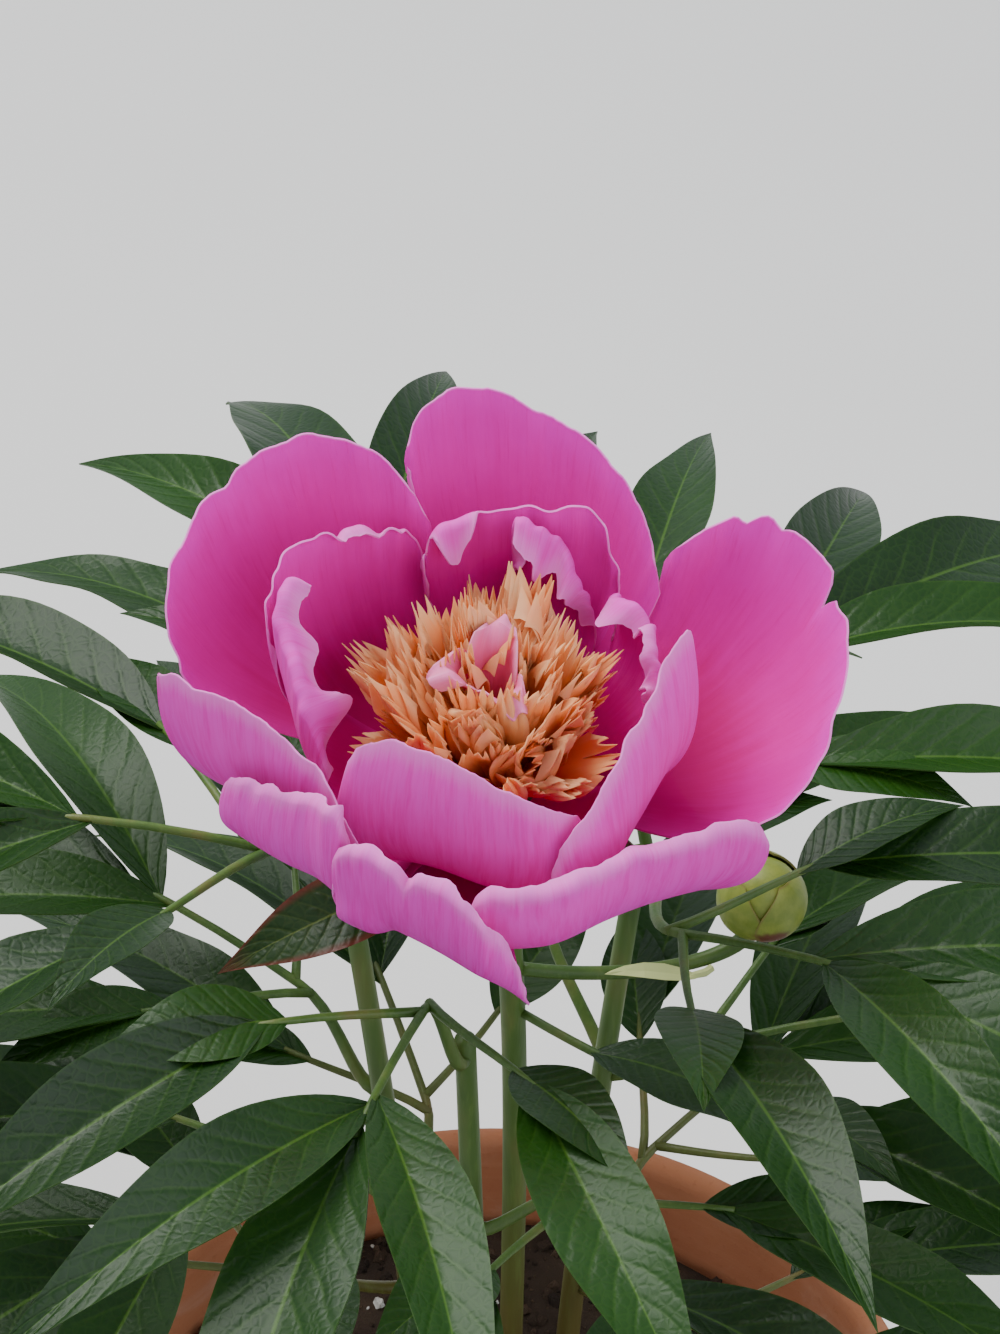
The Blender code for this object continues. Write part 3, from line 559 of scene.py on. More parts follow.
# Each petal: layer outwards, how far its floor reaches and how far its wall bulges in mm, both at its first and its
# last side, where along its height it bulges, its edge as (azimuth, radius, height), the width in mm of the part that
# folds over beyond the edge at shares of the edge, how much its wall waves, in mm, and the notches in its margin as
# (share of the edge, width, depth).
PETALS = {
    "inner_petal_rear_right": (-3.6, (0.85, 0.85), (2, 2), 0.40, (
        (83, 36.5, 23), (82, 36.5, 35), (79, 36.5, 50), (70, 36.5, 47), (63, 36.5, 41), (54, 37, 31), (49, 36.5, 21)),
        ((0, 1), (0.30, 5), (0.42, 9), (0.55, 11), (0.72, 8), (0.87, 6), (1, 3)), 0.9, ((0.2, 0.05, 0.05),)),
    "inner_petal_right_small": (-3.2, (0.85, 0.85), (2, 1), 0.40, (
        (44, 39, 20), (42, 39, 34), (34, 37.5, 38), (18, 37.5, 40), (6, 38, 38), (-2, 38, 30), (-5, 37.5, 20)),
        ((0, 1), (0.22, 7.5), (0.38, 9), (0.50, 4.5), (0.62, 4), (0.75, 7), (0.9, 4), (1, 1)), 1.0, ((0.46, 0.04, 0.10),)),
    "inner_petal_rear": (-2.8, (0.85, 0.85), (1, 2), 0.40, (
        (111, 37.5, 25), (111, 38.5, 43.5), (97, 39, 46.5), (80, 40, 48.5), (62, 42, 50.5), (54, 43.5, 45.5),
        (48, 43, 31)),
        ((0, 1), (0.22, 1.6), (0.27, 9), (0.31, 13), (0.35, 9), (0.39, 2), (0.6, 1.6), (0.8, 1.2), (1, 0.6)), 0.9, ((0.18, 0.05, 0.05), (0.62, 0.06, 0.02))),
    "inner_petal_left_fold": (-2.4, (0.90, 0.90), (1, 3), 0.40, (
        (158, 46, 34), (161, 47, 50), (165, 47, 55), (173, 46, 51), (188, 43.5, 43), (197, 41.5, 34.5), (204, 39, 20)),
        ((0, 1), (0.2, 4.5), (0.4, 8), (0.6, 10), (0.78, 13), (0.9, 12), (1, 7)), 1.0, ((0.5, 0.05, 0.02),)),
    "inner_petal_left_rear": (-2.0, (0.85, 0.85), (0, 0), 0.40, (
        (170, 49, 32), (167, 51, 44), (158, 51, 49), (147, 49, 50), (134, 47, 47.5), (118, 44.5, 41.5),
        (112, 43.5, 34), (110, 42, 22)),
        ((0, 0.6), (0.30, 0.9), (0.45, 2.2), (0.58, 4.5), (0.70, 3.6), (0.84, 1.5), (1, 1)), 0.7, ((0.52, 0.02, 0.03), (0.66, 0.03, 0.05))),
    "inner_petal_front": (-1.6, (1.20, 1.20), (10, 7), 0.30, (
        (221, 38, 14), (219, 40, 36), (226, 37, 46), (246, 33.5, 48), (270, 36.5, 44), (288, 41, 38), (298, 41, 32), (300, 40, 18)),
        ((0, 0.6), (0.5, 1.0), (1, 0.6)), 0.5, ((0.03, 0.05, 0.05),)),
    "inner_petal_right_front": (-1.0, (1.00, 1.15), (1, 13), 0.35, (
        (-1, 41.5, 18), (-2, 43, 32), (-3, 44.5, 46), (-5, 43.5, 56), (-16, 39.5, 50), (-38, 38.5, 45), (-58, 43, 38),
        (-71, 46, 30), (-74, 45, 15)),
        ((0, 0.6), (0.5, 1.2), (1, 0.6)), 0.6, ((0.55, 0.03, 0.012),)),
    "petal_left_rear": (0.0, (0.66, 0.66), (-7, -5), 0.42, (
        (107, 46, 26), (108, 47.5, 39), (111, 50.5, 46.5), (116, 56, 53), (126, 65, 58.5), (137, 70, 57),
        (149, 74, 52), (158, 75, 46.5), (167, 74.5, 37), (172, 70, 26)),
        ((0, 0.5), (0.5, 0.7), (1, 0.5)), 0.6, ((0.60, 0.020, 0.025), (0.74, 0.03, 0.012))),
    "petal_rear": (1.0, (0.66, 0.66), (-9, -7), 0.42, (
        (106, 52, 29), (109, 57, 45), (108, 59.5, 53), (103, 61, 61), (94, 62, 64), (83, 61, 60.5), (71, 60, 55),
        (58, 57, 48), (48, 54.5, 37), (42, 52, 24)),
        ((0, 0.5), (0.5, 0.7), (1, 0.5)), 0.6, ((0.22, 0.02, 0.012), (0.55, 0.04, 0.012))),
    "petal_left_front": (1.0, (0.85, 1.15), (1, 3), 0.30, (
        (184, 61, 17), (182, 70, 32), (182, 73, 41), (187, 65, 42.5), (196, 54.5, 42), (209, 48, 38.5),
        (222, 46, 33), (236, 46.5, 18)),
        ((0, 0.5), (0.5, 1.0), (1, 0.5)), 0.6, ((0.3, 0.03, 0.015),)),
    "petal_right": (2.0, (0.66, 0.66), (-9, -11), 0.40, (
        (45, 55.5, 20), (42, 58, 37), (34, 71, 46), (20, 79, 44), (4, 79, 37.5), (-12, 75, 27), (-23, 66, 18),
        (-28, 57, 13)),
        ((0, 0.5), (0.5, 0.7), (1, 0.5)), 0.8, ((0.27, 0.018, 0.035), (0.33, 0.012, 0.020), (0.47, 0.010, 0.09), (0.50, 0.02, 0.02))),
    "petal_left_lower": (2.0, (0.95, 1.10), (6, 4), 0.22, (
        (199, 53, 9), (197, 61, 21), (204, 58, 27), (213, 54, 29.5), (222, 51, 33.5), (229, 51, 36), (233, 50.5, 26),
        (235, 49, 13)),
        ((0, 0.5), (0.3, 2.5), (0.7, 3.4), (1, 1)), 0.6, ((0.35, 0.03, 0.02),)),
    "petal_front_right": (3.0, (0.98, 0.88), (1, -1), 0.32, (
        (264, 54, 12), (267, 56, 26), (283, 57, 29.5), (300, 56, 31), (318, 60, 27), (326, 66, 27.5), (331, 70, 19.5),
        (333, 62, 13), (335, 52, 7)),
        ((0, 1), (0.2, 4), (0.5, 4.2), (0.8, 3), (1, 0.5)), 0.5, ((0.06, 0.05, 0.06), (0.5, 0.03, 0.012))),
    "petal_front_tip": (4.0, (0.90, 0.98), (0, 5), 0.28, (
        (230, 53, 13), (232, 54.5, 26), (239, 55, 33), (251, 55, 31), (263, 59, 31), (271, 61, 21.5),
        (276, 62.5, 12.5), (278, 61, 1)),
        ((0, 1), (0.2, 3.4), (0.5, 3.6), (0.8, 2), (1, 0.5)), 0.7, ((0.42, 0.02, 0.05), (1.0, 0.12, 0.13))),
}
SEPAL_AZIMUTHS = (26, 98, 170, 242, 314)


def petal_sheet(spec, across, along, root=None, low=None):
    """The middle surface of a petal, as a grid of points in the flower's own frame."""
    layer, belly, bulge, sink, edge = spec[:5]
    root = root or CLAW_RADIUS + LAYER_OUT * layer
    low = low or -LAYER_DOWN * layer
    azimuth, radius, height = np.array(edge, float).T
    edge = spline(around(np.radians(azimuth), radius * MM, height * MM), np.linspace(0, 1, across))
    turn = np.unwrap(np.arctan2(edge[:, 1], edge[:, 0]))
    reach = np.hypot(edge[:, 0], edge[:, 1])
    claw = (turn[0] + turn[-1]) / 2 + np.sign(turn[-1] - turn[0]) * np.linspace(-0.35, 0.35, across)
    first = around(claw, root + 0 * turn, low + 0 * turn)
    floor_reach = np.maximum(np.linspace(*belly, across) * reach, root + 4 * MM)
    second = around((2 * turn + claw) / 3, floor_reach, low + MM + 0 * turn)
    third = around(turn, reach + np.linspace(*bulge, across) * MM, low + (edge[:, 2] - low) * sink)
    v = np.asarray(along, float)[None, :, None]
    near = (1 - v) ** 3 * first[:, None] + 3 * v * (1 - v) ** 2 * second[:, None]
    return near + 3 * v * v * (1 - v) * third[:, None] + v**3 * edge[:, None]


def tree_of(sheet):
    """A search tree of the sheet, made a little larger past its sides and its free edge."""
    sheet = np.concatenate([1.3 * sheet[:1] - 0.3 * sheet[1:2], sheet, 1.3 * sheet[-1:] - 0.3 * sheet[-2:-1]])
    sheet = np.concatenate([sheet, 1.3 * sheet[:, -1:] - 0.3 * sheet[:, -2:-1]], axis=1)
    across, along, _ = sheet.shape
    quads = []
    for i in range(across - 1):
        for j in range(along - 1):
            k = i * along + j
            quads.append((k, k + along, k + along + 1, k + 1))
    return BVHTree.FromPolygons([Vector(p) for p in sheet.reshape(-1, 3)], quads)


def nest_push(sheet, inside, gap):
    """How much further from the flower's middle each point must stand to clear the sheets inside it, as a share."""
    across, along, _ = sheet.shape
    share = np.ones((across, along))
    for _ in range(3):
        push = np.zeros((across + 4, along + 4))
        for i in range(across):
            for j in range(along):
                offset = (sheet[i, j] - NEST_CENTRE) * share[i, j]
                distance = np.linalg.norm(offset)
                ray = Vector(offset / distance)
                for tree in inside:
                    place, normal, _, travelled = tree.ray_cast(Vector(NEST_CENTRE) + ray * 0.3, -ray, 0.3)
                    if place:
                        need = 0.3 - travelled + gap / max(0.45, abs(normal.dot(ray)))
                        push[i + 2, j + 2] = max(push[i + 2, j + 2], (need - distance) / distance)
        for i in range(across):
            for j in range(1, along):
                share[i, j] *= 1 + push[i : i + 5, j + 1 : j + 4].max()
    return share


def widen(values, across, along):
    """The coarse grid of values read smoothly at every point of a finer one."""
    rows = np.stack([np.interp(along, np.linspace(0, 1, values.shape[1]), row) for row in values])
    where = np.linspace(0, 1, values.shape[0])
    fine = np.stack([np.interp(across, where, column) for column in rows.T], axis=1)
    for _ in range(4):
        fine[1:-1] = (fine[:-2] + 2 * fine[1:-1] + fine[2:]) / 4
        fine[:, 1:-1] = (fine[:, :-2] + 2 * fine[:, 1:-1] + fine[:, 2:]) / 4
    return fine


def waves(pick, across, turns):
    """A smooth random line between about -1 and 1 over the shares in across."""
    total = 0 * across
    for turn in turns:
        total = total + np.sin(across * math.tau * turn * pick.uniform(0.8, 1.2) + pick.uniform(0, math.tau))
    return total / math.sqrt(len(turns))


def trimmed(sheet, across, along, notches, pick):
    """The sheet ending a little lower at its notches and along an uneven margin."""
    depth = 0.004 + 0.004 * waves(pick, across, (4, 7, 11))
    for share, width, deep in notches:
        depth = depth + deep * np.exp(-(((across - share) / width) ** 2))
    made = np.empty_like(sheet)
    for i, less in enumerate(np.maximum(depth, 0)):
        for axis in range(3):
            made[i, :, axis] = np.interp(along * (1 - less * along**4), along, sheet[i, :, axis])
    return made


def petal_points(name, spec, inside):
    """The full petal with its folded lip, waved wall and finely toothed margin, and the marks for its finish."""
    lips, ruffle, notches = spec[5:]
    pick = random.Random(name)
    coarse = petal_sheet(spec, 21, np.linspace(0, 1, 13))
    share = nest_push(coarse, inside, NEST_GAP)
    inside.append(tree_of(NEST_CENTRE + (coarse - NEST_CENTRE) * share[..., None]))
    across = np.linspace(0, 1, 97)
    along = 1 - (1 - np.linspace(0, 1, 40)) ** 1.35
    sheet = petal_sheet(spec, 97, along)
    sheet = NEST_CENTRE + (sheet - NEST_CENTRE) * widen(share, across, along)[..., None]
    sheet = trimmed(sheet, across, along, notches, pick)
    side = np.gradient(sheet, axis=0)
    up = np.gradient(sheet, axis=1)
    normal = np.cross(side, up)
    normal /= np.linalg.norm(normal, axis=-1, keepdims=True) + 1e-12
    toward = (-sheet + np.array((0, 0, 0.045)))
    normal *= np.sign((normal * toward).sum(-1).mean())
    wall = along[None, :] ** 2.5
    swell = waves(pick, across, (1.3, 2.4, 3.7))[:, None] * wall * ruffle * MM
    crimp = waves(pick, across, (6, 10, 15))[:, None] * along[None, :] ** 7 * 0.30 * MM
    sheet = sheet + normal * (swell + crimp)[..., None]
    crest = sheet[:, -1]
    lift = crest - sheet[:, -4]
    lift /= np.linalg.norm(lift, axis=-1, keepdims=True)
    inward = normal[:, -1]
    places, widths = np.array(lips, float).T
    width = np.interp(across, places, widths)
    width = width * (1 + 0.14 * waves(pick, across, (5, 8)) * (width > 1.5)) * MM
    tooth = np.clip(waves(pick, across, (23, 37, 52)), -0.9, 1.3) * 0.22 * MM
    fold = (0.4 + 1.9 * np.minimum(width / (6 * MM), 1)) * (1 + 0.16 * waves(pick, across, (2.3, 4.1)))
    point = crest
    rows = []
    for step in np.linspace(0, 1, 12)[1:]:
        run = step * (width + tooth * step)
        angle = (fold * np.minimum(run / (3.6 * MM), 1))[:, None]
        point = point + (lift * np.cos(angle) + inward * np.sin(angle)) * ((width + tooth * step) / 11)[:, None]
        rows.append(point)
    full = np.concatenate([sheet, np.stack(rows, axis=1)], axis=1)
    length = np.linalg.norm(np.diff(full, axis=1), axis=-1)
    from_tip = np.concatenate([np.cumsum(length[:, ::-1], axis=1)[:, ::-1], np.zeros((97, 1))], axis=1)
    reach = np.linalg.norm(crest[-1] - crest[0]) + 0.03
    sides = np.minimum(across, 1 - across)[:, None] * reach * (0.25 + 0.75 * np.concatenate([along, np.ones(11)]))
    marks = {
        "across": np.repeat(across[:, None], full.shape[1], axis=1),
        "along": np.repeat(np.concatenate([along, np.ones(11)])[None, :], 97, axis=0),
        "from_edge": np.minimum(from_tip, sides) * 1000,
    }
    return full, marks


def whorl_envelope(ring, tip_radius, tip_height, foot):
    """A full cone just outside the widest whorl, for the petals to clear."""
    sheet = np.zeros((33, 5, 3))
    for i in range(33):
        for j in range(5):
            s = j / 4
            radius = ring + 0.8 + (tip_radius + 0.6 - ring) * s**1.25
            height = foot / MM + 1.0 + (tip_height - foot / MM - 1.6) * (1 - (1 - s) ** 1.15)
            sheet[i, j] = around(math.tau * i / 32, radius * MM, height * MM)
    return sheet


def add_petals(looks):
    inside = [tree_of(whorl_envelope(*PETAL_CONE, WHORL_FOOT))]
    heart = FLOWER @ Vector((0, 0, 0.045))
    for name, spec in PETALS.items():
        sheet, marks = petal_points(name, spec, inside)
        thing = shell(f"{name}_look", sheet, PETAL_THICKNESS, marks, looks["petal"], FLOWER, heart)
        settle(thing, "petal", name)
    for index, azimuth in enumerate(SEPAL_AZIMUTHS):
        edge = [(azimuth + a, r, z) for a, r, z in (
            (-22, 23, -7.5), (-29, 27, -6), (-20, 34, -2), (0, 39, 2), (20, 34, -2), (29, 27, -6), (22, 23, -7.5))]
        root, low = CLAW_RADIUS + 2.3 * LAYER_OUT, -4.0 * LAYER_DOWN - 0.0029
        spec = (5, (0.6, 0.6), (-1, -1), 0.6, edge)
        share = nest_push(petal_sheet(spec, 13, np.linspace(0, 1, 9), root, low), inside, NEST_GAP)
        across, along = np.linspace(0, 1, 33), np.linspace(0, 1, 21)
        sheet = petal_sheet(spec, 33, along, root, low)
        sheet = NEST_CENTRE + (sheet - NEST_CENTRE) * widen(share, across, along)[..., None]
        marks = {
            "across": np.repeat(across[:, None], 21, axis=1), "along": np.repeat(along[None, :], 33, axis=0),
            "tone": np.full((33, 21), 0.6 + 0.08 * index),
        }
        thing = shell(f"sepal_{index + 1}_look", sheet, 0.7 * MM, marks, looks["sepal"], FLOWER, heart)
        settle(thing, "leaf", f"sepal_{index + 1}")


# ---------------------------------------------------------------- staminodes and carpelodes

# Each whorl: ring radius, tip radius, tip height and ribbons, in mm. The petals clear a cone of (ring radius, tip
# radius, tip height).
WHORLS = (
    (3.6, 12.0, 42.0, 11),
    (5.0, 21.0, 44.0, 18),
    (6.4, 28.5, 40.0, 26),
    (7.8, 33.0, 31.0, 34),
)
PETAL_CONE = (8.0, 32.5, 22.0)
WHORL_FOOT = 3.6 * LAYER_DOWN + 0.0002


def strap_shapes(folder_name, count):
    """Several ribbons of unit length that stand on the origin, wide above and cut into flame-like points."""
    folder = bpy.data.collections.new(folder_name)
    for number in range(count):
        pick = random.Random(700 + number)
        columns, rows = 25, 19
        lobes = [(-0.10, -0.03, 0.06, -0.02)[c % 4] + pick.uniform(-0.03, 0.03) for c in range(columns)]
        for _ in range(2):
            cleft = pick.randrange(1, 6) * 4
            lobes[cleft] -= 0.12
            lobes[cleft - 1] -= 0.04
        bend, twist = pick.uniform(-0.05, 0.5), pick.uniform(-0.6, 0.6)
        cup, sway = pick.uniform(-0.3, 0.5), pick.uniform(-0.10, 0.10)
        broad, phase = pick.uniform(0.13, 0.20), pick.uniform(0, math.tau)
        sheet = np.zeros((columns, rows, 3))
        for j in range(rows):
            t = j / (rows - 1)
            wide = 0.030 + (broad - 0.030) * math.sin(math.pi / 2 * min(1, t / 0.72)) ** 2
            wide *= 1 - 0.35 * max(0, (t - 0.72) / 0.28) ** 1.5
            wide += 0.008 * math.sin(10 * t + phase)
            for i in range(columns):
                s = i / (columns - 1) * 2 - 1
                high = t + (lobes[i] - 0.16 * s * s) * t**6
                x = s * wide
                y = cup * wide * s * s + bend * t**3 * 0.4 + 0.028 * math.sin(7 * t + 4.5 * s + phase) * t
                turn = twist * t * t
                sheet[i, j] = (
                    x * math.cos(turn) - y * math.sin(turn) + sway * math.sin(math.pi * t),
                    x * math.sin(turn) + y * math.cos(turn), high,
                )
        marks = {
            "across": np.repeat(np.linspace(0, 1, columns)[:, None], rows, axis=1),
            "along": np.repeat(np.linspace(0, 1, rows)[None, :], columns, axis=0),
        }
        thing = shell(f"{folder_name} {number}", sheet, 0.006, marks, None)
        bpy.context.scene.collection.objects.unlink(thing)
        folder.objects.link(thing)
    return folder


class Growth(Net):
    """A geometry tree with named inputs, which an object's modifier runs."""

    def __init__(self, name, **inputs):
        super().__init__(bpy.data.node_groups.new(name, "GeometryNodeTree"))
        face = self.tree.interface
        face.new_socket("Geometry", in_out="OUTPUT", socket_type="NodeSocketGeometry")
        self.start = None
        self.names = {}
        for key, kind in inputs.items():
            title = key.replace("_", " ")
            self.names[key] = face.new_socket(title, in_out="INPUT", socket_type=f"NodeSocket{kind}").identifier
        self.start = self.tree.nodes.new("NodeGroupInput")
        self.end = self.tree.nodes.new("NodeGroupOutput")

    def inlet(self, key):
        return Socket(self, self.start.outputs[key.replace("_", " ")])

    def join(self, x, y, z):
        return self.out(self.add("ShaderNodeCombineXYZ", None, {0: x, 1: y, 2: z}))

    def chance(self, low, high, seed):
        node = self.add("FunctionNodeRandomValue", {"data_type": "FLOAT"}, {2: low, 3: high, 8: seed})
        return self.out(node, 1)

    def closes(self, geometry):
        self.tree.links.new(geometry.socket, self.end.inputs[0])

    def run(self, name, base=None, **values):
        """The tree's result for these values, as a plain mesh object."""
        mesh = base or bpy.data.meshes.new(name)
        thing = bpy.data.objects.new(name, mesh)
        bpy.context.scene.collection.objects.link(thing)
        grown = thing.modifiers.new("Growth", "NODES")
        grown.node_group = self.tree
        for key, value in values.items():
            grown[self.names[key]] = value
        return plain_mesh(thing)


def whorl_growth():
    """Straps set out round a ring and leaning out to a circle of tips, each turned and sized by chance."""
    net = Growth(
        "Staminode whorl", Blades="Int", Ring="Float", Tip_radius="Float", Tip_height="Float", Foot="Float",
        Seed="Int", Straps="Collection", Finish="Material",
    )
    index = net.out(net.add("GeometryNodeInputIndex"))
    blades, seed = net.inlet("Blades"), net.inlet("Seed")
    turn = index * (math.tau / 1.0) / blades + net.chance(-0.06, 0.06, seed)
    shrink = net.chance(0.80, 1.06, seed + 1)
    lean = net.chance(0.72, 1.04, seed + 2)
    out_x, out_y = turn.cosine(), turn.sine()
    ring, foot = net.inlet("Ring"), net.inlet("Foot")
    start = net.join(out_x * ring, out_y * ring, foot)
    reach = net.inlet("Tip_radius") * lean
    tip = net.join(out_x * reach, out_y * reach, net.inlet("Tip_height") * shrink)
    way = net.out(net.add("ShaderNodeVectorMath", {"operation": "SUBTRACT"}, {0: tip, 1: start}))
    length = net.out(net.add("ShaderNodeVectorMath", {"operation": "LENGTH"}, {0: way}), 1)
    points = net.add("GeometryNodePoints", None, {"Count": blades, "Position": start})
    upright = net.add("FunctionNodeAlignRotationToVector", {"axis": "Z"}, {"Vector": way})
    outward = net.join(out_x * -1.0, out_y * -1.0, 0.0)
    faced = net.add(
        "FunctionNodeAlignRotationToVector", {"axis": "Y", "pivot_axis": "Z"},
        {"Rotation": upright.outputs[0], "Vector": outward},
    )
    spin = net.add("FunctionNodeEulerToRotation", None, {0: net.join(0.0, 0.0, net.chance(-0.6, 0.6, seed + 3))})
    turned = net.add(
        "FunctionNodeRotateRotation", {"rotation_space": "LOCAL"}, {0: faced.outputs[0], 1: spin.outputs[0]},
    )
    wide = length * net.chance(0.85, 1.20, seed + 4)
    shapes = net.add("GeometryNodeCollectionInfo", None, {0: net.inlet("Straps"), 1: True, 2: True})
    placed = net.add(
        "GeometryNodeInstanceOnPoints", None,
        {"Points": points.outputs[0], "Instance": shapes.outputs[0], "Pick Instance": True,
         "Rotation": turned.outputs[0], "Scale": net.join(wide, wide, length)},
    )
    toned = net.add(
        "GeometryNodeStoreNamedAttribute", {"data_type": "FLOAT", "domain": "INSTANCE"},
        {"Geometry": placed.outputs[0], "Name": "tone", "Value": net.chance(0.0, 1.0, seed + 5)},
    )
    whole = net.add("GeometryNodeRealizeInstances", None, {0: toned.outputs[0]})
    finished = net.add("GeometryNodeSetMaterial", None, {"Geometry": whole.outputs[0], "Material": net.inlet("Finish")})
    net.closes(net.out(finished))
    return net


def place_mesh(thing, matrix):
    thing.data.transform(matrix)
    thing.data.update()


def add_staminodes(looks):
    straps = strap_shapes("Straps", 12)
    net = whorl_growth()
    for index, (ring, tip_radius, tip_height, blades) in enumerate(WHORLS):
        thing = net.run(
            f"staminodes_{index + 1}_look", Blades=blades, Ring=ring * MM, Tip_radius=tip_radius * MM,
            Tip_height=tip_height * MM, Foot=WHORL_FOOT, Seed=40 + 10 * index, Straps=straps,
            Finish=looks["staminode"],
        )
        place_mesh(thing, FLOWER)
        settle(thing, "staminode", f"staminodes_{index + 1}")
    for piece in list(straps.objects):
        bpy.data.objects.remove(piece, do_unlink=True)
    bpy.data.collections.remove(straps)


CARPELODES = ((192, 8.5, 35.5), (300, 8.5, 34.0), (75, 7.5, 38.0))


def add_carpelodes(looks):
    for index, (azimuth, radius, height) in enumerate(CARPELODES):
        across, along = 21, 31
        sheet = np.zeros((across, along, 3))
        turn = math.radians(azimuth)
        pick = random.Random(index)
        for j in range(along):
            t = j / (along - 1)
            hook = max(0.0, (t - 0.72) / 0.28)
            reach = (1.3 + (radius + 1.0 - 1.3) * t**1.4 + 4.5 * hook**1.3) * MM
            rise = WHORL_FOOT + ((height + 7.0) * MM - WHORL_FOOT) * min(1, t / 0.86) ** 0.9 - 3.5 * MM * hook**2
            half = (0.6 + 5.4 * math.sin(math.pi * t**1.2 * 0.88) ** 0.8) * MM
            for i in range(across):
                s = i / (across - 1) * 2 - 1
                fold = 0.75 * s * s * half + 0.5 * MM * math.sin(6 * s + 8 * t + index) * t
                point = around(turn, reach - fold, rise + 1.2 * MM * t**4 * math.sin(5 * s + index))
                sheet[i, j] = point + np.array((-math.sin(turn), math.cos(turn), 0)) * s * half
        marks = {
            "across": np.repeat(np.linspace(0, 1, across)[:, None], along, axis=1),
            "along": np.repeat(np.linspace(0, 1, along)[None, :], across, axis=0),
        }
        thing = shell(f"carpelode_{index + 1}_look", sheet, 0.4 * MM, marks, looks["carpelode"], FLOWER)
        settle(thing, "carpelode", f"carpelode_{index + 1}")


# ---------------------------------------------------------------- leaves

LEAF_REACH = 0.235
PETIOLE_RADIUS = 0.0015
LEAFY_STEM_RADIUS = 0.0034
STEM_RADIUS = 0.0031
BUD_STEM_RADIUS = 0.0017
TIER_HEIGHTS = (0.262, 0.332, 0.402)
TIERS = (("low", 1.0, 39), ("mid", 0.99, 3), ("high", 0.98, 39))
LEAFY_AZIMUTHS = (math.radians(150), math.radians(30), math.radians(262))
# Leaflets of one compound leaf: the stalk that it grows on (0 main, 1 and -1 the side stalks) and where along the
# stalk's last part, its tip as (outwards, sideways) and its half width, the last two as shares of the leaf's reach.
LEAFLETS = (
    (0, 0.84, (1.00, 0.000), 0.070),
    (0, 0.46, (0.83, 0.250), 0.056),
    (0, 0.58, (0.83, -0.250), 0.056),
    (1, 0.86, (0.70, 0.415), 0.056),
    (-1, 0.86, (0.70, -0.415), 0.056),
    (1, 0.60, (0.43, 0.290), 0.046),
    (-1, 0.60, (0.43, -0.290), 0.046),
)


def stem_path(foot, middle_point, top, steps):
    one, four = Vector((*foot, SOIL_TOP - 0.001)), Vector(top)
    return bezier(one, one.lerp(Vector(middle_point), 0.6), Vector(middle_point).lerp(four, 0.2), four, steps)


def leafy_stem_points(azimuth, steps=24):
    foot = (0.020 * math.cos(azimuth), 0.020 * math.sin(azimuth))
    high = TIER_HEIGHTS[2] + 0.006
    top = (0.042 * math.cos(azimuth), 0.042 * math.sin(azimuth), high)
    halfway = (0.026 * math.cos(azimuth), 0.026 * math.sin(azimuth), (SOIL_TOP + high) / 2)
    return stem_path(foot, halfway, top, steps)


def at_height(points, height):
    for one, two in zip(points, points[1:]):
        if one.z <= height <= two.z:
            return one.lerp(two, (height - one.z) / (two.z - one.z))
    return points[-1].copy()


def tier_rise(radius):
    return 0.62 * radius - 2.5 * radius * radius


def blade_shapes(folder_name, count):
    """Several leaflets of unit length along +Y and unit half width, with a fold, waves and a drawn-out tip."""
    folder = bpy.data.collections.new(folder_name)
    for number in range(count):
        pick = random.Random(300 + number)
        columns, rows = 13, 27
        sheet = np.zeros((columns, rows, 3))
        arch, droop, fold = pick.uniform(0.04, 0.10), pick.uniform(0.03, 0.11), pick.uniform(0.14, 0.40)
        bow = pick.uniform(-0.05, 0.05)
        wave, phase = pick.uniform(0.02, 0.06), pick.uniform(0, math.tau)
        for j in range(rows):
            t = j / (rows - 1)
            wide = math.sin(math.pi * t**0.74) ** 1.1 if 0 < t < 1 else 0
            wide = max(wide, 0.025 * (1 - t))
            for i in range(columns):
                s = i / (columns - 1) * 2 - 1
                high = arch * 4 * t * (1 - t) - droop * t**3
                rise = 0.18 * fold * abs(s) ** 1.3 * wide
                ripple = 0.18 * wave * math.sin(phase + 15 * t + 2 * s) * abs(s) ** 2 * wide
                sheet[i, j] = (s * wide + bow * math.sin(math.pi * t), t, high + rise + ripple)
        marks = {
            "across": np.repeat(np.linspace(0, 1, columns)[:, None], rows, axis=1),
            "along": np.repeat(np.linspace(0, 1, rows)[None, :], columns, axis=0),
        }
        thing = shell(f"{folder_name} {number}", sheet, 0.004, marks, None)
        bpy.context.scene.collection.objects.unlink(thing)
        folder.objects.link(thing)
    return folder


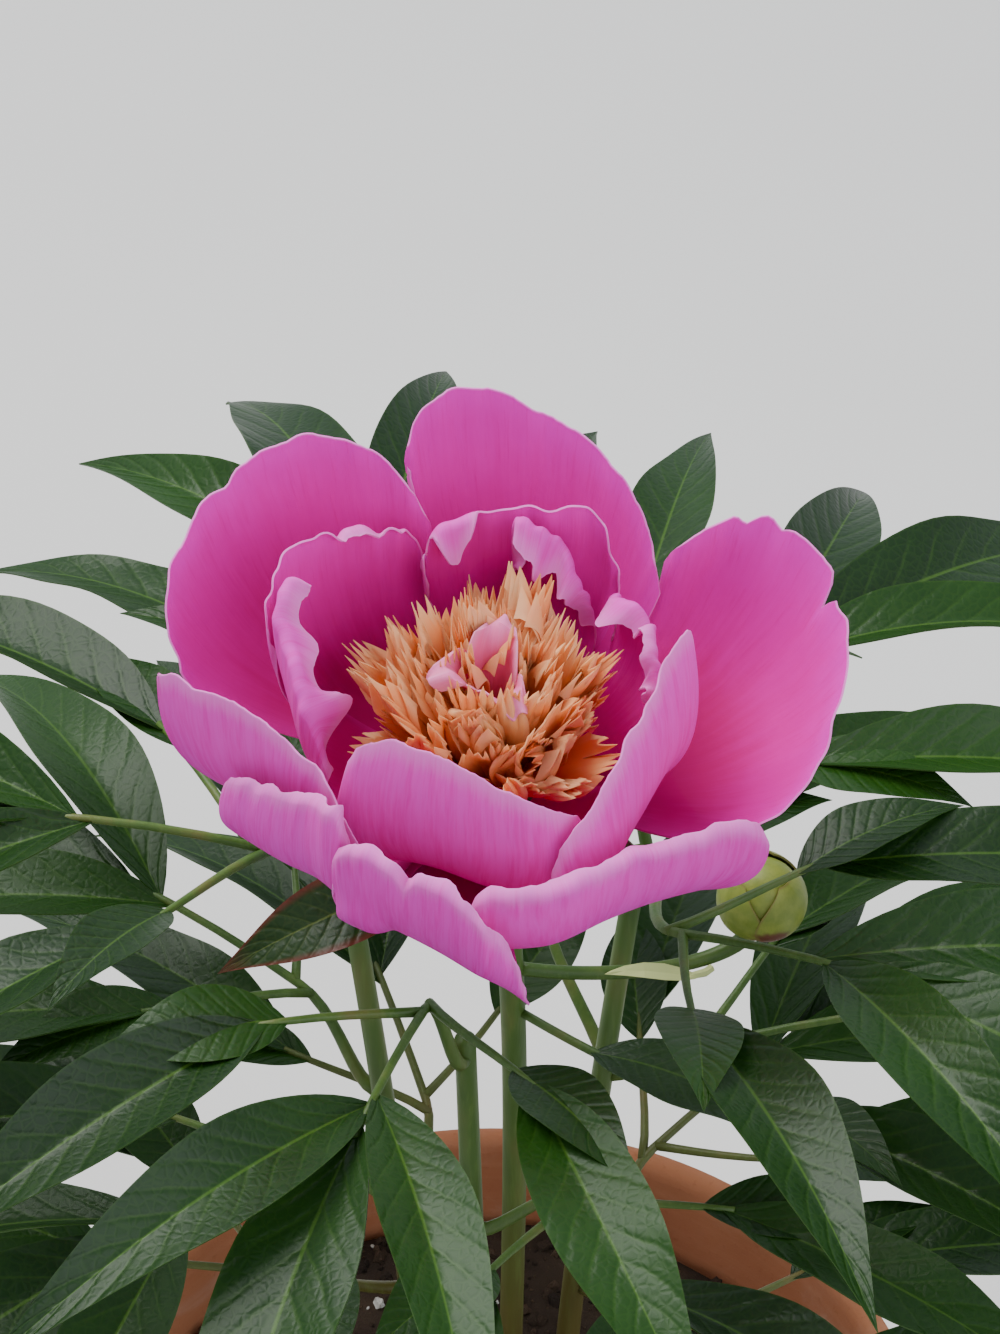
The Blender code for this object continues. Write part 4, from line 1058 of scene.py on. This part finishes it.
def leaf_growth():
    """Leaflets set on points that carry their direction, upper side, size and shape, with the leaf's stalks."""
    net = Growth("Compound leaf", Points="Geometry", Blades="Collection", Stalks="Object", Seed="Int",
                 Blade_finish="Material", Stalk_finish="Material")

    def mark(name, kind):
        return net.add("GeometryNodeInputNamedAttribute", {"data_type": kind}, {"Name": name}).outputs[0]

    upright = net.add("FunctionNodeAlignRotationToVector", {"axis": "Y"}, {"Vector": mark("toward", "FLOAT_VECTOR")})
    faced = net.add(
        "FunctionNodeAlignRotationToVector", {"axis": "Z", "pivot_axis": "Y"},
        {"Rotation": upright.outputs[0], "Vector": mark("above", "FLOAT_VECTOR")},
    )
    shapes = net.add("GeometryNodeCollectionInfo", None, {0: net.inlet("Blades"), 1: True, 2: True})
    placed = net.add(
        "GeometryNodeInstanceOnPoints", None,
        {"Points": net.inlet("Points"), "Instance": shapes.outputs[0], "Pick Instance": True,
         "Rotation": faced.outputs[0], "Scale": mark("extent", "FLOAT_VECTOR")},
    )
    toned = net.add(
        "GeometryNodeStoreNamedAttribute", {"data_type": "FLOAT", "domain": "INSTANCE"},
        {"Geometry": placed.outputs[0], "Name": "tone", "Value": net.chance(0.0, 1.0, net.inlet("Seed"))},
    )
    blades = net.add("GeometryNodeRealizeInstances", None, {0: toned.outputs[0]})
    blades = net.add(
        "GeometryNodeSetMaterial", None, {"Geometry": blades.outputs[0], "Material": net.inlet("Blade_finish")},
    )
    stalks = net.add("GeometryNodeObjectInfo", None, {0: net.inlet("Stalks")})
    stalks = net.add(
        "GeometryNodeSetMaterial", None, {"Geometry": stalks.outputs[4], "Material": net.inlet("Stalk_finish")},
    )
    whole = net.add("GeometryNodeJoinGeometry")
    net.tree.links.new(blades.outputs[0], whole.inputs[0])
    net.tree.links.new(stalks.outputs[0], whole.inputs[0])
    net.closes(net.out(whole))
    return net


def blade_points(name, blades):
    """A mesh of points for the leaf tree, one for each (base, tip, upper side, half width)."""
    mesh = bpy.data.meshes.new(f"{name} points")
    mesh.from_pydata([tuple(base) for base, _, _, _ in blades], [], [])
    for key, values in (
        ("toward", [(tip - base).normalized() for base, tip, _, _ in blades]),
        ("above", [up for _, _, up, _ in blades]),
        ("extent", [(half, (tip - base).length, (tip - base).length) for base, tip, _, half in blades]),
    ):
        layer = mesh.attributes.new(key, "FLOAT_VECTOR", "POINT")
        layer.data.foreach_set("vector", np.array([tuple(v) for v in values], np.float32).ravel())
    return mesh


def joined(name, things):
    """Several mesh objects made one."""
    shape = bmesh.new()
    for thing in things:
        shape.from_mesh(thing.data)
        bpy.data.objects.remove(thing, do_unlink=True)
    mesh = bpy.data.meshes.new(name)
    shape.to_mesh(mesh)
    shape.free()
    mesh.shade_smooth()
    made = bpy.data.objects.new(name, mesh)
    bpy.context.scene.collection.objects.link(made)
    return made


def add_leaf(name, azimuth, height, reach, seed, tools):
    """A compound leaf on its petiole, out from the nearest leafy stem."""
    net, shapes, looks = tools
    pick = random.Random(seed)
    stem = min(LEAFY_AZIMUTHS, key=lambda a: abs(math.remainder(a - azimuth, math.tau)))
    hub = at_height(leafy_stem_points(stem), height)
    out = Vector((math.cos(azimuth), math.sin(azimuth), 0))
    aside = Vector((-math.sin(azimuth), math.cos(azimuth), 0))

    def place(outwards, sideways, lift=0.0):
        flat = out * (outwards * reach) + aside * (sideways * reach)
        return Vector((flat.x, flat.y, height + tier_rise(flat.length) + lift))

    start = hub + out * (LEAFY_STEM_RADIUS * 0.6)
    fork = place(0.23, 0)
    main = bezier(start, start + out * 0.008, fork - out * 0.012 - Vector((0, 0, 0.004)), fork, 9)
    main += [place(0.28, 0), place(0.33, 0), place(0.39, 0), place(0.45, 0)]
    last = len(main) - 1
    ends = {0: (place(0.33, 0), place(0.45, 0))}
    stalks = [tube("stalk", main, [PETIOLE_RADIUS * (1.25 - 0.65 * i / last) for i in range(len(main))], None, 3)]
    for hand in (1, -1):
        ray = bezier(
            place(0.225 - 0.01 * hand, 0), place(0.255, 0.035 * hand), place(0.285, 0.090 * hand),
            place(0.330, 0.142 * hand), 6,
        )
        ends[hand] = (place(0.275, 0.072 * hand), place(0.330, 0.142 * hand))
        stalks.append(tube("stalk", ray, [PETIOLE_RADIUS * (0.85 - 0.05 * i) for i in range(7)], None, 3))
    blades = []
    for side, share_along, (tip_out, tip_side), half in LEAFLETS:
        lift = pick.uniform(-0.012, 0.012)
        base = ends[side][0].lerp(ends[side][1], share_along)
        tip = place(tip_out * pick.uniform(0.95, 1.0), tip_side * pick.uniform(0.92, 1.0), lift)
        lean = Vector((0, 0, 1)) + aside * pick.uniform(-0.35, 0.35)
        pick.uniform(0.004, 0.012)
        blades.append((base, tip, lean, 0.94 * half * reach * pick.uniform(0.88, 1.1)))
    guide = joined("stalk guide", stalks)
    leaf = net.run(
        f"{name}_look", blade_points(name, blades), Blades=shapes, Stalks=guide, Seed=seed,
        Blade_finish=looks["leaf"], Stalk_finish=looks["stem"],
    )
    bpy.data.objects.remove(guide, do_unlink=True)
    settle(leaf, "leaf", name)


def add_leaves(looks):
    shapes = blade_shapes("Leaflets", 7)
    net = leaf_growth()
    tools = (net, shapes, looks)
    for tier, (title, share, first) in enumerate(TIERS):
        for index in range(5):
            pick = random.Random(50 + 10 * tier + index)
            azimuth = math.radians(first + 72 * index + pick.uniform(-3, 3))
            height = TIER_HEIGHTS[tier] + pick.uniform(-0.008, 0.008)
            reach = LEAF_REACH * share * pick.uniform(0.95, 1.05)
            add_leaf(f"leaf_{title}_{index + 1}", azimuth, height, reach, 100 * tier + index, tools)
    add_bracts(tools)
    for piece in list(shapes.objects):
        bpy.data.objects.remove(piece, do_unlink=True)
    bpy.data.collections.remove(shapes)


def flower_stem_points(steps=24):
    top = FLOWER_BASE + Vector((0, 0.0016, -0.0125))
    foot = Vector((0.004, 0.002, SOIL_TOP - 0.001))
    return bezier(foot, Vector((0.006, 0.004, 0.30)), Vector((0.0085, -0.0125, 0.405)), top, steps)


def off_stem(height, way):
    hub = at_height(flower_stem_points(), height)
    return hub + Vector((way[0], way[1], 0)).normalized() * (STEM_RADIUS * 0.5)


def add_single_blade(name, start, bend, tip, half, up, tools, finish, slot="leaf"):
    """One undivided leaf on a short stalk."""
    net, shapes, looks = tools
    guide = tube("stalk guide", bezier(start, start.lerp(bend, 0.4), bend, bend.lerp(tip, 0.2), 6), [0.0011] * 7, None, 3)
    leaf = net.run(
        f"{name}_look", blade_points(name, [(bend, tip, up, half)]), Blades=shapes, Stalks=guide, Seed=5,
        Blade_finish=looks[finish], Stalk_finish=looks["stem"],
    )
    bpy.data.objects.remove(guide, do_unlink=True)
    settle(leaf, slot, name)


def add_bracts(tools):
    zero = FLOWER_BASE
    add_single_blade(
        "bract_left", off_stem(zero.z - 0.030, (-1, 0.1)), zero + Vector((-0.014, 0.002, -0.032)),
        zero + Vector((-0.064, -0.012, -0.050)), 0.009, Vector((0.2, -0.5, 1)), tools, "bract",
    )
    add_single_blade(
        "bract_right", off_stem(zero.z - 0.086, (1, -0.4)), zero + Vector((0.024, -0.006, -0.084)),
        zero + Vector((0.078, -0.034, -0.088)), 0.012, Vector((0, 0.2, 1)), tools, "leaf",
    )


def add_stems(looks):
    points = flower_stem_points()
    thing = tube("flower_stem_look", points, [STEM_RADIUS] * len(points), looks["stem"], 6)
    settle(thing, "stem", "flower_stem")
    for name, azimuth in zip(("left", "right", "front"), LEAFY_AZIMUTHS):
        points = leafy_stem_points(azimuth)
        last = len(points) - 1
        radii = [LEAFY_STEM_RADIUS * (1 - 0.25 * i / last) for i in range(len(points))]
        thing = tube(f"leafy_stem_{name}_look", points, radii, looks["stem"], 6)
        settle(thing, "stem", f"leafy_stem_{name}")


def add_bud(looks):
    centre = middle("bud")
    size = (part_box("bud")[1][2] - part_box("bud")[0][2]) / 2
    low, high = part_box("bud_stem")
    node = off_stem(FLOWER_BASE.z - 0.070, (1, 0.1))
    end = centre - Vector((0.0016, 0.0006, size - 0.0006))
    points = bezier(node, node + Vector((0.018, 0.0, -0.004)), end - Vector((0.006, 0.002, 0.014)), end, 20)
    thing = tube("bud_stem_look", points, [BUD_STEM_RADIUS * (1 + 0.35 * (i / 20) ** 4) for i in range(21)], looks["stem"], 6)
    settle(thing, "stem", "bud_stem")
    shape = bmesh.new()
    bmesh.ops.create_icosphere(shape, subdivisions=4, radius=size)
    bmesh.ops.scale(shape, vec=(0.97, 0.97, 1.0), verts=shape.verts)
    bmesh.ops.translate(shape, vec=centre, verts=shape.verts)
    mesh = bpy.data.meshes.new("bud_look")
    shape.to_mesh(mesh)
    shape.free()
    mesh.shade_smooth()
    paint(mesh, "from_edge", np.full(len(mesh.vertices), 5.0))
    mesh.materials.append(looks["bud"])
    body = bpy.data.objects.new("bud_look", mesh)
    bpy.context.scene.collection.objects.link(body)
    settle(body, "bud", "bud")
    for index, name in enumerate(("left", "right", "rear")):
        azimuth = math.radians(205 + 120 * index)
        across, along = 33, 33
        sheet = np.zeros((across, along, 3))
        from_edge = np.zeros((across, along))
        for i in range(across):
            for j in range(along):
                t, s = j / (along - 1), i / (across - 1) * 2 - 1
                width = 1.15 * math.sin(math.pi * (0.12 + 0.80 * t)) ** 0.8
                angle = azimuth + width * s
                fall = math.radians(-72 + 124 * t)
                hug = size + (0.0003 + 0.0006 * (1 - abs(s)) + 0.0002 * index)
                sheet[i, j] = (
                    hug * math.cos(fall) * math.cos(angle), hug * math.cos(fall) * math.sin(angle),
                    hug * math.sin(fall),
                )
                from_edge[i, j] = min((1 - abs(s)) * 8, (1 - t) * 18)
        marks = {
            "across": np.repeat(np.linspace(0, 1, across)[:, None], along, axis=1),
            "along": np.repeat(np.linspace(0, 1, along)[None, :], across, axis=0), "from_edge": from_edge,
        }
        thing = shell(
            f"bud_sepal_{name}_look", sheet, 0.0005, marks, looks["bud"], Matrix.Translation(centre),
        )
        settle(thing, "bud", f"bud_sepal_{name}")


# ---------------------------------------------------------------- pot and soil


def add_pot(looks):
    """The pot's wall as one turned profile with rounded edges, and its three drain holes."""
    low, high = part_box("pot")
    top, height, base = high[0], high[2], 0.084
    wall, band, step = 0.008, 0.038, 0.006
    outline = [
        (0, 0.0104), (base - wall - 0.006, 0.0104), (base - wall - 0.001, 0.0125),
        (top - step - wall - 0.001, height - band), (top - wall - 0.0006, height - 0.004),
        (top - wall + 0.0006, height - 0.0012), (top - wall + 0.0028, height), (top - 0.0030, height),
        (top - 0.0008, height - 0.0012), (top, height - 0.0040), (top - 0.0010, height - 0.020),
        (top - 0.0016, height - band + 0.003), (top - 0.0026, height - band + 0.0004),
        (top - 0.0048, height - band), (top - step - 0.0022, height - band - 0.0020),
        (top - step - 0.0030, height - band - 0.012), (base + 0.0008, 0.0080), (base - 0.0008, 0.0018),
        (base - 0.0030, 0), (0.060, 0), (0, 0),
    ]
    shape = bmesh.new()
    points = [shape.verts.new((x, 0, z)) for x, z in outline]
    for one, two in zip(points, points[1:]):
        shape.edges.new((one, two))
    mesh = bpy.data.meshes.new("pot_look")
    shape.to_mesh(mesh)
    shape.free()
    pot = bpy.data.objects.new("pot_look", mesh)
    bpy.context.scene.collection.objects.link(pot)
    turn = pot.modifiers.new("Turn", "SCREW")
    turn.steps = turn.render_steps = 144
    turn.use_merge_vertices = True
    turn.merge_threshold = 0.00005
    cutters = bmesh.new()
    for azimuth in (90, 210, 330):
        angle = math.radians(azimuth)
        where = Matrix.Translation((0.045 * math.cos(angle), 0.045 * math.sin(angle), 0.004))
        bmesh.ops.create_cone(cutters, cap_ends=True, segments=32, radius1=0.007, radius2=0.007, depth=0.032, matrix=where)
    cut_mesh = bpy.data.meshes.new("drain guide")
    cutters.to_mesh(cut_mesh)
    cutters.free()
    guide = bpy.data.objects.new("drain guide", cut_mesh)
    bpy.context.scene.collection.objects.link(guide)
    cut = pot.modifiers.new("Drains", "BOOLEAN")
    cut.operation, cut.object, cut.solver = "DIFFERENCE", guide, "EXACT"
    pot = plain_mesh(pot)
    bpy.data.objects.remove(guide, do_unlink=True)
    pot.data.shade_smooth()
    pot.data.set_sharp_from_angle(angle=math.radians(40))
    pot.data.materials.clear()
    pot.data.materials.append(looks["clay"])
    settle(pot, "clay", "pot")


def soil_growth():
    """Crumbs of several sizes strewn over the ground, turned and sized by chance."""
    net = Growth("Soil crumbs", Ground="Geometry", Density="Float", Largest="Float", Seed="Int", Finish="Material")
    seed = net.inlet("Seed")
    strewn = net.add(
        "GeometryNodeDistributePointsOnFaces", {"distribute_method": "RANDOM"},
        {"Mesh": net.inlet("Ground"), "Density": net.inlet("Density"), "Seed": seed},
    )
    crumb = net.add("GeometryNodeMeshIcoSphere", None, {"Radius": 1.0, "Subdivisions": 2})
    rough = net.add("ShaderNodeTexNoise", None, {"Scale": 1.1, "Detail": 1.0})
    spread = net.add("ShaderNodeVectorMath", {"operation": "SUBTRACT"}, {0: rough.outputs[1], 1: (0.5, 0.5, 0.5)})
    spread = net.add("ShaderNodeVectorMath", {"operation": "MULTIPLY"}, {0: spread.outputs[0], 1: (1.5, 1.5, 1.1)})
    crumb = net.add("GeometryNodeSetPosition", None, {"Geometry": crumb.outputs[0], "Offset": spread.outputs[0]})
    turn = net.add("FunctionNodeRandomValue", {"data_type": "FLOAT_VECTOR"}, {0: (0, 0, 0), 1: (6.3, 6.3, 6.3), 8: seed})
    size = net.inlet("Largest") * (net.chance(0.0, 1.0, seed + 1) ** 2.5 * 0.8 + 0.2)
    placed = net.add(
        "GeometryNodeInstanceOnPoints", None,
        {"Points": strewn.outputs[0], "Instance": crumb.outputs[0], "Rotation": turn.outputs[0],
         "Scale": net.join(size, size * 0.9, size * 0.7)},
    )
    toned = net.add(
        "GeometryNodeStoreNamedAttribute", {"data_type": "FLOAT", "domain": "INSTANCE"},
        {"Geometry": placed.outputs[0], "Name": "tone", "Value": net.chance(0.0, 1.0, seed + 2)},
    )
    loose = net.add("GeometryNodeRealizeInstances", None, {0: toned.outputs[0]})
    finished = net.add("GeometryNodeSetMaterial", None, {"Geometry": loose.outputs[0], "Material": net.inlet("Finish")})
    net.closes(net.out(finished))
    return net


def add_soil(looks):
    """A lumpy bed inside the pot with crumbs and a few white grains on it."""
    low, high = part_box("potting_soil")
    edge = high[0] - 0.0032
    shape = bmesh.new()
    bmesh.ops.create_circle(shape, cap_ends=False, segments=72, radius=edge)
    rim = list(shape.edges)
    for _ in range(30):
        grown = bmesh.ops.extrude_edge_only(shape, edges=rim)
        rim = [e for e in grown["geom"] if isinstance(e, bmesh.types.BMEdge)]
        ring = [v for v in grown["geom"] if isinstance(v, bmesh.types.BMVert)]
        shrink = edge / 31
        for vert in ring:
            flat = vert.co.to_2d()
            vert.co.xy = flat * max(0.0, 1 - shrink / flat.length)
    bmesh.ops.edgeloop_fill(shape, edges=rim)
    pick = random.Random(9)
    for vert in shape.verts:
        x, y = vert.co.x * 1000, vert.co.y * 1000
        far = vert.co.to_2d().length / edge
        lumps = math.sin(x * 0.21 + 1) * math.sin(y * 0.18) + 0.6 * math.sin(x * 0.53) * math.cos(y * 0.47 + 2)
        lumps += 0.35 * math.sin(x * 1.13 + y * 0.9) + pick.uniform(-0.35, 0.35)
        vert.co.z = high[2] - 0.0022 - 0.0012 * far**2 + lumps * 0.0006
    bmesh.ops.recalc_face_normals(shape, faces=shape.faces)
    if sum(face.normal.z for face in shape.faces) < 0:
        bmesh.ops.reverse_faces(shape, faces=shape.faces)
    ground_mesh = bpy.data.meshes.new("soil ground")
    shape.to_mesh(ground_mesh)
    rim = [e for e in shape.edges if e.is_boundary]
    down = bmesh.ops.extrude_edge_only(shape, edges=rim)
    ring = [v for v in down["geom"] if isinstance(v, bmesh.types.BMVert)]
    for vert in ring:
        vert.co.xy = vert.co.to_2d() * 0.985
        vert.co.z = high[2] - 0.030
    bmesh.ops.edgeloop_fill(shape, edges=[e for e in down["geom"] if isinstance(e, bmesh.types.BMEdge)])
    bmesh.ops.recalc_face_normals(shape, faces=shape.faces)
    mesh = bpy.data.meshes.new("potting_soil_look")
    shape.to_mesh(mesh)
    shape.free()
    mesh.shade_smooth()
    paint(mesh, "tone", np.full(len(mesh.vertices), 0.35))
    mesh.materials.append(looks["soil"])
    bed = bpy.data.objects.new("potting_soil_look", mesh)
    bpy.context.scene.collection.objects.link(bed)
    settle(bed, "soil", "potting_soil")
    crumbs = soil_growth().run(
        "soil_crumbs", ground_mesh, Density=62000.0, Largest=0.0030, Seed=3, Finish=looks["soil"],
    )
    settle(crumbs, "soil", "potting_soil")


# ---------------------------------------------------------------- setting


def add_receptacle(looks):
    """The cone under the petals, turned smooth."""
    inner = CLAW_RADIUS - 3.6 * LAYER_OUT - 0.0009
    outer = CLAW_RADIUS + 4.0 * LAYER_OUT - 0.0010
    high = 3.6 * LAYER_DOWN - 0.0006
    low = -4.0 * LAYER_DOWN - 0.0008
    outline = [
        (0, high), (inner - 0.0008, high), (inner, high - 0.0006), (outer, low), (outer - 0.0011, low - 0.0014),
        (0.0105, -0.0100), (0.0060, -0.0112), (0.0040, -0.0125), (0.0033, -0.0140), (0, -0.0140),
    ]
    shape = bmesh.new()
    points = [shape.verts.new((x, 0, z)) for x, z in outline]
    for one, two in zip(points, points[1:]):
        shape.edges.new((one, two))
    mesh = bpy.data.meshes.new("receptacle_look")
    shape.to_mesh(mesh)
    shape.free()
    thing = bpy.data.objects.new("receptacle_look", mesh)
    bpy.context.scene.collection.objects.link(thing)
    turn = thing.modifiers.new("Turn", "SCREW")
    turn.steps = turn.render_steps = 64
    turn.use_merge_vertices = True
    turn.merge_threshold = 0.00005
    thing = plain_mesh(thing)
    place_mesh(thing, FLOWER)
    thing.data.shade_smooth()
    thing.data.materials.clear()
    thing.data.materials.append(looks["stem"])
    settle(thing, "stem", "receptacle")


def add_setting(looks):
    """Pale floor and soft light from above."""
    shape = bmesh.new()
    bmesh.ops.create_grid(shape, x_segments=1, y_segments=1, size=20.0)
    mesh = bpy.data.meshes.new("floor")
    shape.to_mesh(mesh)
    shape.free()
    mesh.materials.append(looks["floor"])
    floor = bpy.data.objects.new("floor", mesh)
    floor.location.z = -0.0005
    bpy.context.scene.collection.objects.link(floor)
    world = bpy.data.worlds.new("Soft daylight")
    world.use_nodes = True
    world.node_tree.nodes["Background"].inputs["Color"].default_value = (0.86, 0.92, 1.0, 1)
    world.node_tree.nodes["Background"].inputs["Strength"].default_value = 0.90
    bpy.context.scene.world = world
    for name, place, size, power, tint in (
        ("key", (-0.7, 0.5, 1.9), 1.3, 46, (1.0, 0.98, 0.95)),
        ("fill", (1.0, -1.1, 1.3), 1.4, 14, (0.93, 0.96, 1.0)),
    ):
        light = bpy.data.lights.new(name, "AREA")
        light.size = size
        light.energy = power
        light.color = tint
        lamp = bpy.data.objects.new(name, light)
        lamp.location = place
        lamp.rotation_euler = (FLOWER_BASE - Vector(place)).to_track_quat("-Z", "Y").to_euler()
        bpy.context.scene.collection.objects.link(lamp)


def add_camera():
    elevation = math.radians(42)
    back = Vector((0, -math.cos(elevation), math.sin(elevation)))
    up = Vector((0, math.sin(elevation), math.cos(elevation)))
    camera = bpy.data.cameras.new("camera")
    camera.lens = 119
    camera.clip_start = 0.05
    thing = bpy.data.objects.new("camera", camera)
    aim = FLOWER_BASE + Vector((0.00227, 0, 0)) + up * 0.0256
    thing.location = aim + back * 1.0
    thing.rotation_euler = (-back).to_track_quat("-Z", "Y").to_euler()
    bpy.context.scene.collection.objects.link(thing)
    bpy.context.scene.camera = thing


LOOKS = {
    "petal": petal_look(
        "Pink petal", (0.60, 0.001, 0.20), (0.77, 0.004, 0.43), (0.87, 0.026, 0.62), (0.94, 0.33, 0.80),
        (0.93, 0.090, 0.70), (0.86, 0.030, 0.52),
    ),
    "staminode": staminode_look(),
    "carpelode": carpelode_look(),
    "leaf": leaf_look("Dark peony leaf", (0.004, 0.024, 0.002), (0.011, 0.050, 0.003), (0.05, 0.12, 0.010), (0.04, 0.10, 0.015)),
    "bract": leaf_look(
        "Bract with red margin", (0.006, 0.022, 0.003), (0.015, 0.045, 0.005), (0.09, 0.12, 0.02), (0.04, 0.07, 0.015),
        (0.13, 0.020, 0.015),
    ),
    "sepal": leaf_look(
        "Green sepal", (0.06, 0.12, 0.02), (0.11, 0.18, 0.035), (0.22, 0.28, 0.09), (0.09, 0.15, 0.04),
        (0.30, 0.06, 0.08),
    ),
    "stem": stem_look(),
    "bud": bud_look(),
    "clay": clay_look(),
    "soil": soil_look(),
    "floor": floor_look(),
}

add_camera()
add_setting(LOOKS)
add_pot(LOOKS)
add_soil(LOOKS)
add_stems(LOOKS)
add_leaves(LOOKS)
add_bud(LOOKS)
add_receptacle(LOOKS)
add_staminodes(LOOKS)
add_carpelodes(LOOKS)
add_petals(LOOKS)
